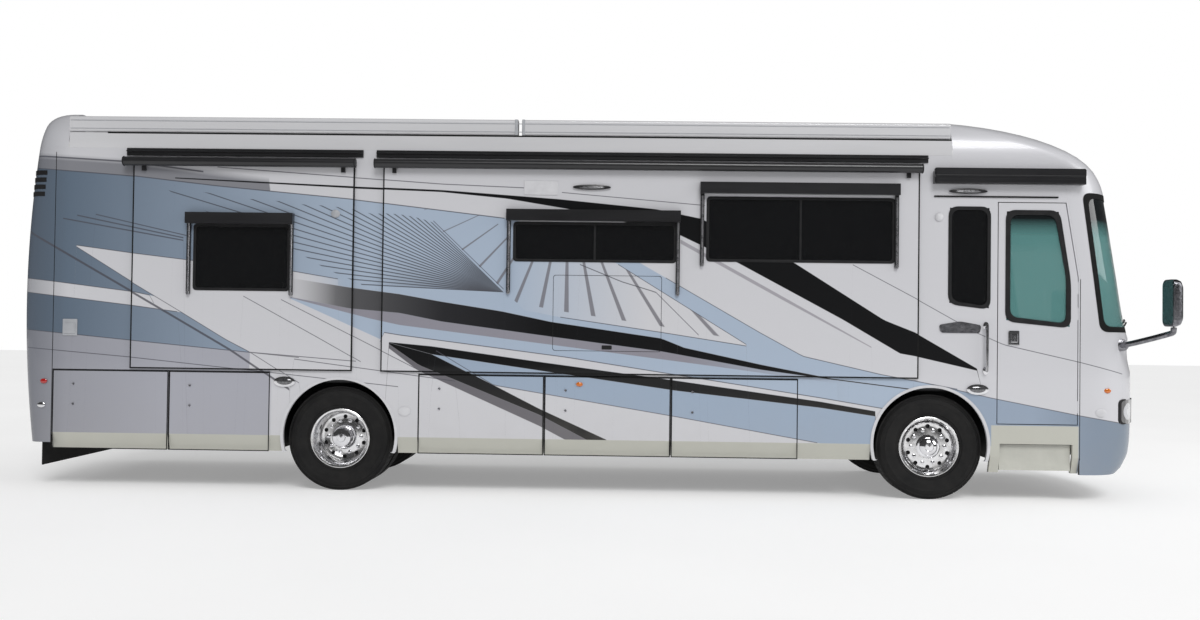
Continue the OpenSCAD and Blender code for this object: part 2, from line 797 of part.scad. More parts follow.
member_w = 80;
module crossmembers() color("dimgray") {
    y = rail_y - rail_w / 2;
    for (x = [frame_x0, rx - 900, rx + 900, (rx + fx) / 2, fx - 800, frame_x1 - member_w])
        block([x, -y, rail_low + 40], [x + member_w, y, rail_top - 40]);
}

// Arms under the kerb-side rail that carry the entry step
hanger_t = 24;
module step_hangers() color("dimgray") {
    y0 = -hw + tuck_in + 75;
    for (x = [door_x0 + 40 - seat_gap - hanger_t, door_x0 + 40 + step_w + seat_gap]) {
        block([x, y0, step_z1 - 175], [x + hanger_t, -rail_y, step_z1 - 60]);
        block([x, -rail_y - rail_w / 2, step_z1 - 175], [x + hanger_t, -rail_y + rail_w / 2, rail_low]);
    }
}

// Receiver tube on a drop frame, with the bar that carries the mud flap
receiver = 63.5;
receiver_bore = 51;
pin_hole_d = 16;
hitch_bar = 70;
hitch_post = 60;
flap_arm = 30;
flap_rail_h = 40;
// Receiver, cross bar, posts and flap rail, each seat_gap from the next
module hitch_frame() color("dimgray") {
    bar_x = flap_x + 110;
    arm_x = flap_x + flap_t + flap_arm;
    difference() {
        block([hitch_mouth, -receiver / 2, hitch_z - receiver / 2],
            [bar_x - seat_gap, receiver / 2, hitch_z + receiver / 2]);
        block([hitch_mouth - 1, -receiver_bore / 2, hitch_z - receiver_bore / 2],
            [bar_x, receiver_bore / 2, hitch_z + receiver_bore / 2]);
        translate([hitch_mouth + 60, -receiver, hitch_z]) rotate([-90, 0, 0])
            cylinder(d = pin_hole_d, h = 2 * receiver, $fn = 32);
    }
    post_y = rail_y - hitch_post / 2;
    block([bar_x, -post_y + seat_gap, hitch_z - hitch_bar / 2], [bar_x + hitch_bar, post_y - seat_gap, hitch_z + hitch_bar / 2]);
    for (s = [-1, 1]) {
        block([bar_x, s * rail_y - hitch_post / 2, hitch_z - hitch_bar / 2],
            [bar_x + hitch_bar, s * rail_y + hitch_post / 2, rail_low]);
        block([arm_x + seat_gap, s * rail_y - flap_arm / 2, flap_top - flap_rail_h],
            [bar_x - seat_gap, s * rail_y + flap_arm / 2, flap_top]);
    }
    block([flap_x + flap_t + seat_gap, -hw + 130, flap_top - flap_rail_h], [arm_x, hw - 130, flap_top]);
}

module engine() color("gray") {
    block([tail_x + 520, -330, rail_low - 230], [tail_x + 1750, 330, rail_low + 40]);
    block([tail_x + 1749, -230, rail_low - 180], [gearbox_x, 230, rail_low + 20]);
    // Mounts that reach to the rails
    mount_y = rail_y - rail_w / 2;
    for (x = [tail_x + 600, tail_x + 1600]) block([x, -mount_y, rail_low + 10], [x + 100, mount_y, rail_low + 40]);
}

// Beam between the kingpins, with an eye at each end
module front_axle() color("dimgray") difference() {
    union() {
        block([fx - 50, -kingpin_y + 60, wheel_z - 60], [fx + 50, kingpin_y - 60, wheel_z + 50]);
        for (s = [-1, 1])
            translate([fx, s * kingpin_y, wheel_z - 70]) cylinder(d = 130, h = 130, $fn = 48);
        for (s = [-1, 1])
            block([fx - 110, s * rail_y - 110, wheel_z + 49], [fx + 110, s * rail_y + 110, wheel_z + 90]);
    }
    for (s = [-1, 1])
        translate([fx, s * kingpin_y, wheel_z - 200])
            cylinder(d = kingpin_d + 2 * running, h = 400, $fn = 48);
}

brake_d = 380;
// Inner end of the hub that joins the twin rims
twin_hub = 110;
twin_middle = wheel_y - twin_pitch / 2;
gearbox_x = tail_x + 2350;
module rear_axle() color("dimgray") {
    // Tube with the spindles, which reach into the outer rims
    drum(rx, wheel_z, -wheel_y - 20, wheel_y + 20, spindle_d, 48);
    drum(rx, wheel_z, -twin_middle + twin_hub + 10, twin_middle - twin_hub - 10, 150, 48);
    for (s = [-1, 1])
        drum(rx, wheel_z, s * (twin_middle - twin_hub - 130) - 110, s * (twin_middle - twin_hub - 130) + 110,
            brake_d, 64);
    translate([rx, 0, wheel_z]) sphere(210, $fn = 48);
    // Propeller shaft to the gearbox
    difference() {
        rod([gearbox_x - 10, 0, rail_low - 80], [rx - 120, 0, wheel_z + 40], 90);
        block([gearbox_x - 100, -100, 0], [gearbox_x, 100, rail_top]);
    }
    for (s = [-1, 1])
        block([rx - 480, s * rail_y - 60, wheel_z - 60], [rx + 480, s * rail_y + 60, wheel_z + 60]);
}

module spring(x, s, z0)
    translate([x, s * rail_y, z0]) cylinder(d = spring_d, h = rail_low - z0, $fn = 48);

module air_springs() color("black") {
    for (s = [-1, 1]) {
        spring(fx, s, wheel_z + 90);
        for (dx = [-360, 360]) spring(rx + dx, s, wheel_z + 60);
    }
}

// Knuckle on the kerb side: a yoke round the axle's eye, a pin, a brake drum and a spindle
module knuckle() {
    difference() {
        block([fx - 60, -kingpin_y - 130, wheel_z - 110], [fx + 60, -kingpin_y + 50, wheel_z + 105]);
        block([fx - 100, -kingpin_y - 80, wheel_z - 75], [fx + 100, -kingpin_y + 120, wheel_z + 65]);
    }
    translate([fx, -kingpin_y, wheel_z - 110]) cylinder(d = kingpin_d, h = 215, $fn = 48);
    drum(fx, wheel_z, -wheel_y - front_disc - 30, -kingpin_y - 129, spindle_d, 48);
    // Brake drum
    drum(fx, wheel_z, -wheel_y - front_disc + 30, -kingpin_y - 129, brake_d, 64);
}

module front_right_knuckle() color("dimgray") knuckle();
module front_left_knuckle() color("dimgray") other_side() knuckle();

// ---- Wheels ----

// Tyre round the Y axis, its middle at the origin
module tyre() rotate([90, 0, 0]) rotate_extrude($fn = 96) {
    r1 = tyre_d / 2;
    r0 = rim_d / 2 - 16.5;
    h = tyre_w / 2;
    polygon([
        [r0, -h + 38], [r0 + 35, -h + 14], [r0 + 105, -h], [r0 + 150, -h + 2], [r1 - 30, -h + 12],
        [r1 - 9, -h + 32], [r1, -h + 75], [r1, h - 75], [r1 - 9, h - 32], [r1 - 30, h - 12],
        [r0 + 150, h - 2], [r0 + 105, h], [r0 + 35, h - 14], [r0, h - 38]
    ]);
}

// Turned ring between two radii, from y = -z0 to y = -z1
module turned(r0, r1, z0, z1) rotate([90, 0, 0]) rotate_extrude($fn = 96) translate([r0, z0]) square([r1 - r0, z1 - z0]);

// Rim round the Y axis: its disc at disc_y and its hub at hub_y, towards -Y, with a bore for the spindle
module rim(disc_y, hub_y, hub_len) {
    r = rim_d / 2;
    h = tyre_w / 2 - 40;
    b = spindle_d / 2 + running;
    // Barrel, from the inner flange to the outer one
    rotate([90, 0, 0]) rotate_extrude($fn = 96) polygon([
        [r - 17, -h], [r - 16, -h - 16], [r, -h - 16], [r, -h - 26], [r - 30, -h - 26], [r - 36, -h],
        [r - 60, -h + 50], [r - 60, h - 50], [r - 36, h], [r - 30, h + 26], [r, h + 26], [r, h + 16],
        [r - 16, h + 16], [r - 17, h], [r - 40, h - 50], [r - 40, -h + 50]
    ]);
    turned(b, r - 42, disc_y, disc_y + 14);
    turned(b, 150, hub_y, hub_y + hub_len);
}

module place_wheel(x, y) translate([x, y, wheel_z]) children();

front_disc = tyre_w / 2 - 70;
rear_disc = -tyre_w / 2 + 50;

module front_rim() place_wheel(fx, -wheel_y) rim(front_disc, front_disc - 20, 70);
module rear_rim() {
    place_wheel(rx, -wheel_y) rim(rear_disc, -twin_pitch / 2, twin_hub);
    place_wheel(rx, -wheel_y + twin_pitch) mirror([0, 1, 0]) rim(rear_disc, -twin_pitch / 2, twin_hub);
}

module tyres_at(x, twin) {
    place_wheel(x, -wheel_y) tyre();
    if (twin) place_wheel(x, -wheel_y + twin_pitch) tyre();
}

module front_right_tyre() color("black") tyres_at(fx, false);
module front_left_tyre() color("black") other_side() tyres_at(fx, false);
module rear_right_tyres() color("black") tyres_at(rx, true);
module rear_left_tyres() color("black") other_side() tyres_at(rx, true);
module front_right_rim() color("silver") front_rim();
module front_left_rim() color("silver") other_side() front_rim();
module rear_right_rims() color("silver") rear_rim();
module rear_left_rims() color("silver") other_side() rear_rim();

// ---- Cockpit ----

seat_x = fx + 560;
pedestal = 300;
pedestal_h = 260;
cushion = 520;
cushion_w = 500;
cushion_h = 140;
back_t = 120;
back_w = 480;
back_h = 640;
back_lean = 12;
head_t = 90;
head_w = 260;
head_h = 170;
arm_y = 275;
arm_w = 60;
arm_h = 210;
// Pedestal, cushion, back, headrest and armrests of one seat
module seat(y) {
    x = seat_x;
    top = floor_h + pedestal_h + cushion_h;
    block([x - pedestal / 2, y - pedestal / 2, floor_h], [x + pedestal / 2, y + pedestal / 2, top - cushion_h]);
    block([x - cushion / 2, y - cushion_w / 2, top - cushion_h], [x + cushion / 2, y + cushion_w / 2, top]);
    translate([x - cushion / 2, y - back_w / 2, top - 1]) rotate([0, -back_lean, 0]) cube([back_t, back_w, back_h]);
    translate([x - cushion / 2 - 115, y - head_w / 2, top + back_h - 25]) rotate([0, -back_lean, 0])
        cube([head_t, head_w, head_h]);
    for (s = [-1, 1]) {
        arm = y + s * arm_y;
        block([x - 180, arm - arm_w / 2, top + arm_h - 50], [x + 130, arm + arm_w / 2, top + arm_h]);
        block([x - 180, arm - arm_w / 2, top], [x - 120, arm + arm_w / 2, top + arm_h - 49]);
        block([x - 180, arm - s * 30 - 35, top - 20], [x - 120, arm - s * 30 + 35, top + 20]);
    }
}

module cockpit_seats() color("tan") {
    seat(560);
    translate([-80, 0, 0]) seat(-360);
}

module dashboard() color("dimgray") {
    block([dash_back, -dash_y / 2, floor_h], [dash_front, dash_y, dash_top]);
    // Hood over the instruments
    block([dash_back, wheel_side - 230, dash_top - 1], [dash_back + 240, wheel_side + 230, dash_top + 70]);
}

module steering_wheel() color("black") difference() {
    translate([dash_back - 190, wheel_side, dash_top + 120]) rotate([0, -62, 0]) {
        rotate_extrude($fn = 64) translate([210, 0]) circle(15, $fn = 20);
        cylinder(d = 110, h = 40, center = true, $fn = 32);
        for (a = [0, 120, 240]) rotate([0, 0, a]) translate([0, -15, -8]) cube([205, 30, 16]);
        translate([0, 0, -320]) cylinder(d = 60, h = 320, $fn = 32);
    }
    block([dash_back - seat_gap, -hw, floor_h], [dash_front, hw, screen_high]);
}

// ---- Outside fittings ----

module patio_case(x0, x1) {
    y0 = -hw - 15;
    z0 = side_h + roof_rise - 50;
    along(x0, x1) round_rect(y0, z0, y0 + awning_d, z0 + awning_h, 28);
    // Brackets that stand on the shoulder of the roof
    for (i = [0:3])
        block([x0 + 150 + i * (x1 - x0 - 380) / 3, -hw + 10, side_h + 20],
            [x0 + 230 + i * (x1 - x0 - 380) / 3, -hw + 45, z0 + 10]);
}

module patio_awnings() color("gainsboro") {
    middle = (roof_rear + roof_front) / 2 + 130;
    difference() {
        union() {
            patio_case(roof_rear + 15, middle - 20);
            patio_case(middle + 20, roof_front - 25);
        }
        along(roof_rear - 10, roof_front + 10) roof_outline(-seat_gap);
        block([roof_rear - 10, -hw + 5, 0], [roof_front + 10, hw, side_h + 20]);
    }
}

module door_awning() color("black") {
    z0 = door_top + 172;
    y1 = -hw - seat_gap;
    block([fx + 10, y1 - 85, z0], [wall_front + 20, y1, z0 + 125]);
    block([fx + 80, y1 - 50, z0 + 124], [wall_front - 60, y1, z0 + 155]);
}

module roof_air_conditioners() color("whitesmoke") {
    z0 = side_h + roof_rise - 6;
    for (x = [rx - 1300, (rx + fx) / 2 - 500, fx - 900])
        difference() {
            block([x, -360, z0 - 60], [x + 900, 360, z0 + 215]);
            along(x - 10, x + 910) roof_outline(-seat_gap);
        }
}

// Lamp blocks on both sides, cut to the shape of a cap
module lamp_blocks(a, b) {
    block(a, b);
    other_side() block(a, b);
}

module lamps() color("mistyrose") {
    intersection() {
        difference() {
            front_outer(-8);
            front_outer(-seat_gap);
        }
        lamp_blocks([fx + 1500, -1190, 780], [fx + 3000, -810, 1010]);
    }
    intersection() {
        difference() {
            rear_outer(-8);
            rear_outer(-seat_gap);
        }
        lamp_blocks([tail_x - 300, -1110, 900], [tail_x + 200, -930, 1450]);
    }
}

// Distance from the middle to the front cap's side at x from the front axle, and its facing angle
function front_y(x, z) =
    let (c = corner_at(z), u = (x - c) / (nose_at(z) - c))
    hw * pow(1 - pow(u, plan_power), 1 / plan_power);
function front_facing(x, z) = atan2(20, front_y(x - 10, z) - front_y(x + 10, z));

// Rod from a to b
module rod(a, b, d) {
    v = b - a;
    translate(a) rotate([0, acos(v[2] / norm(v)), atan2(v[1], v[0])]) cylinder(d = d, h = norm(v), $fn = 32);
}

// Mirror on the kerb side: a pad on the cap, an arm and a head
mirror_base = [1850, 1560];
module mirror_set() {
    x = mirror_base[0];
    z = mirror_base[1];
    head_x = fx + mirror_reach;
    facing = front_facing(x, z);
    pad = [fx + x, -front_y(x, z), z];
    out = [cos(facing), -sin(facing), 0];
    elbow = [head_x - 55, -mirror_y + 150, z + 125];
    rod(pad + out, pad + out * 60, 120);
    rod(pad + out * 45, elbow, 56);
    translate(elbow) sphere(d = 64, $fn = 32);
    rod(elbow, elbow + [0, 0, 90], 44);
    translate([0, 0, z + 190]) linear_extrude(455)
        round_rect(head_x - 110, -mirror_y, head_x, -mirror_y + 250, 40);
}

module mirrors() color("silver") {
    mirror_set();
    other_side() mirror_set();
}

module mud_flap() color("black") difference() {
    block([flap_x, -hw + 90, 205], [flap_x + flap_t, hw - 90, flap_top]);
    block([flap_x - 1, -receiver, hitch_z - receiver], [flap_x + flap_t + 1, receiver, flap_top + 1]);
}

chassis_rails();
crossmembers();
step_hangers();
hitch_frame();
floor();
right_wall();
left_wall();
roof();
front_cap();
rear_cap();
windshield();
side_windows();
right_storage_bays();
left_storage_bays();
engine();
front_axle();
rear_axle();
air_springs();
cockpit_seats();
dashboard();
steering_wheel();
patio_awnings();
door_awning();
roof_air_conditioners();
lamps();
mirrors();
mud_flap();
entry_door();
entry_door_window();
entry_step();
right_bay_door_1();
right_bay_door_2();
right_bay_door_3();
right_bay_door_4();
right_bay_door_5();
left_bay_door_1();
left_bay_door_2();
left_bay_door_3();
engine_hatch();
bedroom_slide();
bedroom_slide_window();
bedroom_slide_awnings();
living_slide();
living_slide_windows();
living_slide_awnings();
galley_slide();
galley_slide_windows();
galley_slide_awning();
front_right_knuckle();
front_left_knuckle();
front_right_tyre();
front_left_tyre();
front_right_rim();
front_left_rim();
rear_right_tyres();
rear_left_tyres();
rear_right_rims();
rear_left_rims();
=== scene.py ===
"""Looks of the rear-engined motorhome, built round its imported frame. Metres, +X forward, -Y the kerb side."""

import json
import math

import bmesh
import bpy
from mathutils import Matrix, Vector

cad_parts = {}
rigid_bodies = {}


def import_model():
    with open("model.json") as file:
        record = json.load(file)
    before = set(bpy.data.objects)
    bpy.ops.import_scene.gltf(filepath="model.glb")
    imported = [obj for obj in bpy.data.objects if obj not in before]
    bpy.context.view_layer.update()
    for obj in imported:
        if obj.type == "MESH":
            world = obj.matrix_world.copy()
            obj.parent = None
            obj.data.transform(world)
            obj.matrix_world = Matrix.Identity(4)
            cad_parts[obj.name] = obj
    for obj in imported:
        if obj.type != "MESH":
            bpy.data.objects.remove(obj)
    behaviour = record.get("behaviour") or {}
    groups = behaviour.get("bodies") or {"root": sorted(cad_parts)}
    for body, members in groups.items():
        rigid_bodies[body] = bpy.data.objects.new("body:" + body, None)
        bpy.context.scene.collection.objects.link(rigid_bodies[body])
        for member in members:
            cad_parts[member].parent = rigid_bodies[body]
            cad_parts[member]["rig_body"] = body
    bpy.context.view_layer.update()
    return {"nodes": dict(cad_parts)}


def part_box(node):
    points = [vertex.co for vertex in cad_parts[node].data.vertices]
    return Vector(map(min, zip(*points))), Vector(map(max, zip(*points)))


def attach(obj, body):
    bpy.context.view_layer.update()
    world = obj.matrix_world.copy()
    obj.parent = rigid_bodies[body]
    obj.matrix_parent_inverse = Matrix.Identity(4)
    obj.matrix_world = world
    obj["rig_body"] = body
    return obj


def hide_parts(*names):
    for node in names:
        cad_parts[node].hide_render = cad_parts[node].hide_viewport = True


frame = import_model()

# ---- Driving dimensions, read from the frame ----

COACH = "coach_body"


def middle_x(node):
    low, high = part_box(node)
    return (low.x + high.x) / 2


FRONT_AXLE = middle_x("front_right_rim")
REAR_AXLE = middle_x("rear_right_rims")
AXLE_Z = (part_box("front_right_rim")[0].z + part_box("front_right_rim")[1].z) / 2
TYRE_R = AXLE_Z
RIM_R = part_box("front_right_rim")[1].z - AXLE_Z
TYRE_HALF = (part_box("front_right_tyre")[1].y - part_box("front_right_tyre")[0].y) / 2
WHEEL_Y = -(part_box("front_right_tyre")[1].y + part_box("front_right_tyre")[0].y) / 2
TWIN_PITCH = (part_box("rear_right_tyres")[1].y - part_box("rear_right_tyres")[0].y) - 2 * TYRE_HALF
HALF = -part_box("right_wall")[0].y
SIDE_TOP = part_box("right_wall")[1].z
CAP_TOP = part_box("rear_cap")[1].z
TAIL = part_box("rear_cap")[0].x
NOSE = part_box("front_cap")[1].x
NOSE_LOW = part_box("front_cap")[0].z
TAIL_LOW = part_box("rear_cap")[0].z
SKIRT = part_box("right_bay_door_1")[0].z
BAY_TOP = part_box("right_bay_door_1")[1].z
ROOF_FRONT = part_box("roof")[1].x
ROOF_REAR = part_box("roof")[0].x
ROOF_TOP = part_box("roof")[1].z
FLOOR_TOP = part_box("cockpit_seats")[0].z
WALL_FRONT = FRONT_AXLE + 1.47
WALL_REAR = TAIL + 0.42
WALL_T = 0.045
SCREEN_LOW, SCREEN_HIGH = 1.70, 3.06
FACE = -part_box("living_slide")[0].y
ARCH_R = 0.59
AWNING_CASE_H = 0.158
ARCH_Z = AXLE_Z + 0.028
TUCK_TOP = SKIRT + 0.16
TUCK_IN = 0.055


# ---- Shader writing ----


class Value:
    """A socket that takes part in arithmetic, each step of which becomes one Math node."""

    def __init__(self, tree, socket):
        self.tree = tree
        self.socket = socket

    def math(self, operation, *others, clamp=False):
        return self.tree.math(operation, self, *others, clamp=clamp)

    def __add__(self, other):
        return self.math("ADD", other)

    def __sub__(self, other):
        return self.math("SUBTRACT", other)

    def __rsub__(self, other):
        return self.tree.math("SUBTRACT", other, self)

    def __mul__(self, other):
        return self.math("MULTIPLY", other)

    def __truediv__(self, other):
        return self.math("DIVIDE", other)

    def __abs__(self):
        return self.math("ABSOLUTE")

    __radd__ = __add__
    __rmul__ = __mul__


class Finish:
    """One material and the nodes that make it."""

    def __init__(self, name):
        self.material = bpy.data.materials.new(name)
        self.material.use_nodes = True
        self.nodes = self.material.node_tree.nodes
        self.links = self.material.node_tree.links
        self.shader = self.nodes["Principled BSDF"]
        place = self.node("ShaderNodeTexCoord", out="Object")
        self.place = place
        axes = self.node("ShaderNodeSeparateXYZ", {}, place, out=None)
        self.x, self.y, self.z = (Value(self, axes.outputs[i]) for i in range(3))

    def node(self, kind, settings=None, *inputs, out=0, **named):
        """Adds a node, feeds its inputs and returns one output, or the node itself if out is None."""
        made = self.nodes.new(kind)
        for key, value in (settings or {}).items():
            if key == "stops":
                ramp = made.color_ramp
                while len(ramp.elements) < len(value):
                    ramp.elements.new(1)
                for element, (position, colour) in zip(ramp.elements, value):
                    element.position = position
                    element.color = (*colour, 1)
            elif key == "points":
                curve = made.mapping.curves[0]
                while len(curve.points) < len(value):
                    curve.points.new(0, 0)
                for point, (u, v) in zip(curve.points, value):
                    point.location = (u, v)
                    point.handle_type = "VECTOR"
                made.mapping.update()
            else:
                setattr(made, key, value)
        for key, value in [*enumerate(inputs), *named.items()]:
            self.feed(made.inputs[key.replace("_", " ") if isinstance(key, str) else key], value)
        if out is None:
            return made
        return Value(self, made.outputs[out])

    def feed(self, socket, value):
        if isinstance(value, Value):
            self.links.new(value.socket, socket)
        elif value is not None:
            is_colour = socket.type == "RGBA" and len(value) == 3
            socket.default_value = (*value, 1) if is_colour else value

    def math(self, operation, *values, clamp=False):
        return self.node("ShaderNodeMath", {"operation": operation, "use_clamp": clamp}, *values)

    def mix(self, share, first, second):
        """A colour between two others."""
        made = self.node("ShaderNodeMix", {"data_type": "RGBA"}, share, out=None)
        for socket, value in ((made.inputs[6], first), (made.inputs[7], second)):
            self.feed(socket, value)
        return Value(self, made.outputs[2])

    def noise(self, scale, detail=3.0, roughness=0.5, stretch=None):
        place = self.place
        if stretch:
            place = self.node("ShaderNodeMapping", {}, place, Scale=stretch)
        return self.node(
            "ShaderNodeTexNoise", {}, Vector=place, Scale=scale, Detail=detail, Roughness=roughness
        )

    def step(self, value, edge, soft):
        """0 below edge and 1 above it, over a soft width."""
        return self.math("MULTIPLY_ADD", value, 1 / soft, 0.5 - edge / soft, clamp=True)

    def bump(self, height, strength, distance, normal=None):
        return self.node(
            "ShaderNodeBump", {}, Strength=strength, Distance=distance, Height=height, Normal=normal
        )

    def finish(self, colour, roughness, normal=None, alpha=None, **constants):
        """Wires up the surface; what stays the same all over is set on the shader's own sockets."""
        self.feed(self.shader.inputs["Base Color"], colour)
        self.feed(self.shader.inputs["Roughness"], roughness)
        self.feed(self.shader.inputs["Alpha"], alpha)
        self.feed(self.shader.inputs["Normal"], normal)
        for key, value in constants.items():
            self.feed(self.shader.inputs[key.replace("_", " ")], value)
        return self.material


# ---- Painted bands ----
# Points are (metres from the front axle, height) along each edge or line of the artwork.

ART_X0, ART_LEN, ART_H = -9.6, 12.2, 4.0

BLACK = (0.0035, 0.0037, 0.0045)
WHITE = (0.56, 0.56, 0.585)
SILVER = (0.36, 0.365, 0.41)
TAIL_SILVER = (0.25, 0.255, 0.285)
PALE_BLUE = (0.36, 0.43, 0.53)
SLATE = (0.085, 0.12, 0.165)
MAUVE = (0.24, 0.225, 0.255)
LINE_GREY = (0.07, 0.07, 0.085)
SKIRT_BEIGE = (0.47, 0.47, 0.42)

SWOOP_TOP = [
    (-7.6, 3.13), (-5.83, 3.06), (-4.9, 3.03), (-3.72, 2.95), (-2.75, 2.86), (-2.3, 2.77), (-1.35, 2.33),
    (-0.47, 1.78), (-0.16, 1.66), (0.5, 1.285),
]
SWOOP_LOW = [
    (-7.6, 3.12), (-5.83, 3.04), (-4.9, 3.01), (-4.24, 2.95), (-3.61, 2.85), (-2.5, 2.6), (-1.92, 2.33),
    (-0.88, 1.78), (-0.31, 1.45), (-0.16, 1.425), (0.5, 1.28),
]
REAR_BLUE_TOP = [
    (-9.5, 3.25), (-8.98, 3.21), (-8.0, 3.14), (-7.18, 3.05), (-5.82, 2.93), (-4.24, 2.75), (-3.6, 2.62),
    (-3.13, 2.31)
]
NEEDLE_TOP = [(-8.63, 2.44), (-8.0, 2.36), (-7.46, 2.30), (-6.4, 2.2), (-5.9, 2.12)]
NEEDLE_LOW = [(-8.63, 2.44), (-7.99, 2.05), (-7.49, 1.76), (-7.05, 1.5), (-6.81, 1.38), (-6.27, 1.05)]
SPEAR_TOP = [
    (-6.42, 2.13), (-5.81, 2.04), (-5.31, 1.98), (-4.89, 1.91), (-4.28, 1.82), (-3.78, 1.72), (-2.68, 1.57),
    (-2.45, 1.48), (-1.68, 1.32), (-0.97, 1.19), (-0.1, 1.09),
]
SPEAR_LOW = [
    (-6.42, 1.94), (-5.81, 1.83), (-5.3, 1.79), (-4.88, 1.71), (-3.76, 1.57), (-2.68, 1.44), (-1.68, 1.27),
    (-0.97, 1.18), (-0.1, 1.08),
]
MAUVE_LOW = [(-6.45, 1.94), (-5.6, 1.73), (-5.3, 1.67), (-3.76, 1.49), (-2.16, 1.3), (-0.9, 1.14)]
WHITE_BAND_TOP = [(-5.5, 1.6), (-5.3, 1.57), (-3.63, 1.37), (-1.1, 1.0), (-0.4, 0.89)]
BLADE_TOP = [(-5.44, 1.5), (-4.97, 1.46), (-3.9, 1.32), (-2.53, 1.15), (-1.09, 0.96), (-0.53, 0.87)]
BLADE_LOW = [(-5.44, 1.5), (-4.97, 1.38), (-3.87, 1.23), (-2.53, 1.05), (-1.09, 0.9), (-0.53, 0.82)]
BRANCH_TOP = [(-5.44, 1.5), (-4.97, 1.38), (-4.35, 1.08), (-3.89, 0.85), (-3.19, 0.54)]
BRANCH_LOW = [(-5.44, 1.5), (-5.1, 1.27), (-3.89, 0.79), (-3.4, 0.54), (-3.19, 0.5)]
BRANCH_GREY = [(-5.44, 1.46), (-5.1, 1.21), (-3.89, 0.68), (-3.6, 0.53), (-3.19, 0.4)]
LOWER_BLUE_LOW = [(-4.7, 1.25), (-4.35, 1.08), (-3.89, 1.01), (-2.52, 0.79), (-1.08, 0.545), (0.2, 0.3)]
RIBBON_TOP = [(-3.5, 2.66), (-2.67, 2.19), (-1.7, 1.64), (-1.27, 1.41), (-0.5, 1.24), (0.28, 1.1)]
RIBBON_LOW = [(-5.1, 2.85), (-4.3, 2.76), (-3.6, 2.58), (-3.13, 2.31), (-2.67, 2.03), (-1.8, 1.5)]
FAN_LOW = [(-5.1, 2.0), (-4.4, 1.9), (-3.7, 1.77), (-2.68, 1.63), (-1.8, 1.5)]
FRONT_BLUE_TOP = [(-0.2, 1.19), (0.28, 1.09), (0.6, 1.02), (1.45, 0.86), (1.93, 0.78), (2.3, 0.74)]
SILVER_BAND_TOP = [(-9.5, 2.14), (-8.84, 2.07), (-7.99, 1.97), (-7.79, 1.93), (-7.5, 1.86)]
SILVER_BAND_LOW = [(-9.5, 2.0), (-7.98, 1.83), (-7.51, 1.77), (-7.3, 1.76)]
REAR_BLUE_LOW = [(-9.5, 1.615), (-7.99, 1.48), (-6.85, 1.38), (-6.3, 1.33)]
TOP_SHADE_TOP = [(-9.2, 3.35), (-8.11, 3.29), (-6.6, 3.1)]
TOP_SHADE_LOW = [(-9.2, 3.2), (-8.0, 3.1), (-6.6, 2.95)]
BODY_WHITE_TOP = [(-6.81, 2.25), (-6.2, 2.16), (-5.0, 2.0)]
BODY_WHITE_LOW = [(-6.85, 1.2), (-5.0, 1.2)]
RAY_FOOT = [(-4.4, 1.96), (-3.7, 1.83), (-2.68, 1.69), (-1.8, 1.55)]
GREY_STROKE_TOP = [(-2.5, 2.56), (-1.51, 2.02), (-0.56, 1.495)]
GREY_STROKE_LOW = [(-2.5, 2.52), (-1.51, 1.985), (-0.56, 1.485)]

# Thin lines, each with its half width
STROKES = [
    (0.012, [(-9.5, 2.8), (-8.84, 2.43), (-8.0, 1.96), (-7.01, 1.4), (-6.38, 0.99)]),
    (0.008, [(-9.06, 3.34), (-8.11, 3.29), (-7.3, 3.19)]),
    (0.004, NEEDLE_TOP),
    (0.004, NEEDLE_LOW),
    (0.004, SILVER_BAND_TOP[:4]),
    (0.004, SILVER_BAND_LOW[:3]),
    (0.004, REAR_BLUE_LOW),
    (0.004, [(-9.5, 1.43), (-7.99, 1.31), (-6.95, 1.21), (-5.3, 1.05)]),
    (0.0045, [(-7.18, 3.24), (-5.82, 3.15), (-4.9, 3.09), (-4.06, 3.06)]),
    (0.004, [(-3.72, 3.02), (-2.23, 2.9)]),
    (0.004, [(-0.81, 2.34), (-0.16, 2.0), (0.44, 1.67), (0.72, 1.55), (1.45, 1.39), (1.94, 1.27)]),
    (0.006, [(-8.76, 2.71), (-7.47, 2.49)]),
    (0.006, [(-8.6, 2.74), (-7.47, 2.515)]),
    (0.005, [(-8.45, 2.76), (-7.45, 2.54)]),
    (0.004, [(-6.92, 1.96), (-6.08, 1.51), (-5.68, 1.29)]),
    (0.004, [(-6.85, 1.38), (-5.73, 1.3)]),
    (0.004, [(-6.52, 1.92), (-5.12, 1.23)]),
    (0.004, [(-6.4, 1.32), (-4.7, 1.11)]),
    (0.0045, WHITE_BAND_TOP),
    (0.004, [(-4.97, 1.44), (-4.35, 1.08), (-2.52, 0.79), (-1.08, 0.545)]),
    (0.004, RIBBON_TOP[1:]),
    (0.004, RIBBON_LOW[3:]),
    (0.004, FAN_LOW[2:]),
    (0.005, [(-5.0, 2.74), (-4.26, 2.04)]),
    (0.005, [(-3.53, 2.31), (-3.08, 2.13), (-2.74, 2.03), (-2.3, 1.6)]),
    (0.004, FRONT_BLUE_TOP),
    (0.005, REAR_BLUE_TOP[:6]),
]
# Where the fine lines run together, and the middle from which the wide rays spread
FOCUS = (-4.26, 2.03)
SUN = (-3.63, 3.2)
# Degrees from one ray or fine line to the next, and how far back the fine lines reach by angle
RAY_STEP = 10.8
LINE_STEP = 1.7
LINE_SECTOR = 45
LINE_REACH = [
    (0, 1.4), (3, 1.45), (8, 1.9), (12, 2.25), (15, 3.3), (16.5, 3.6), (19, 2.8), (23, 2.2), (30, 1.55),
    (43, 1.03),
]
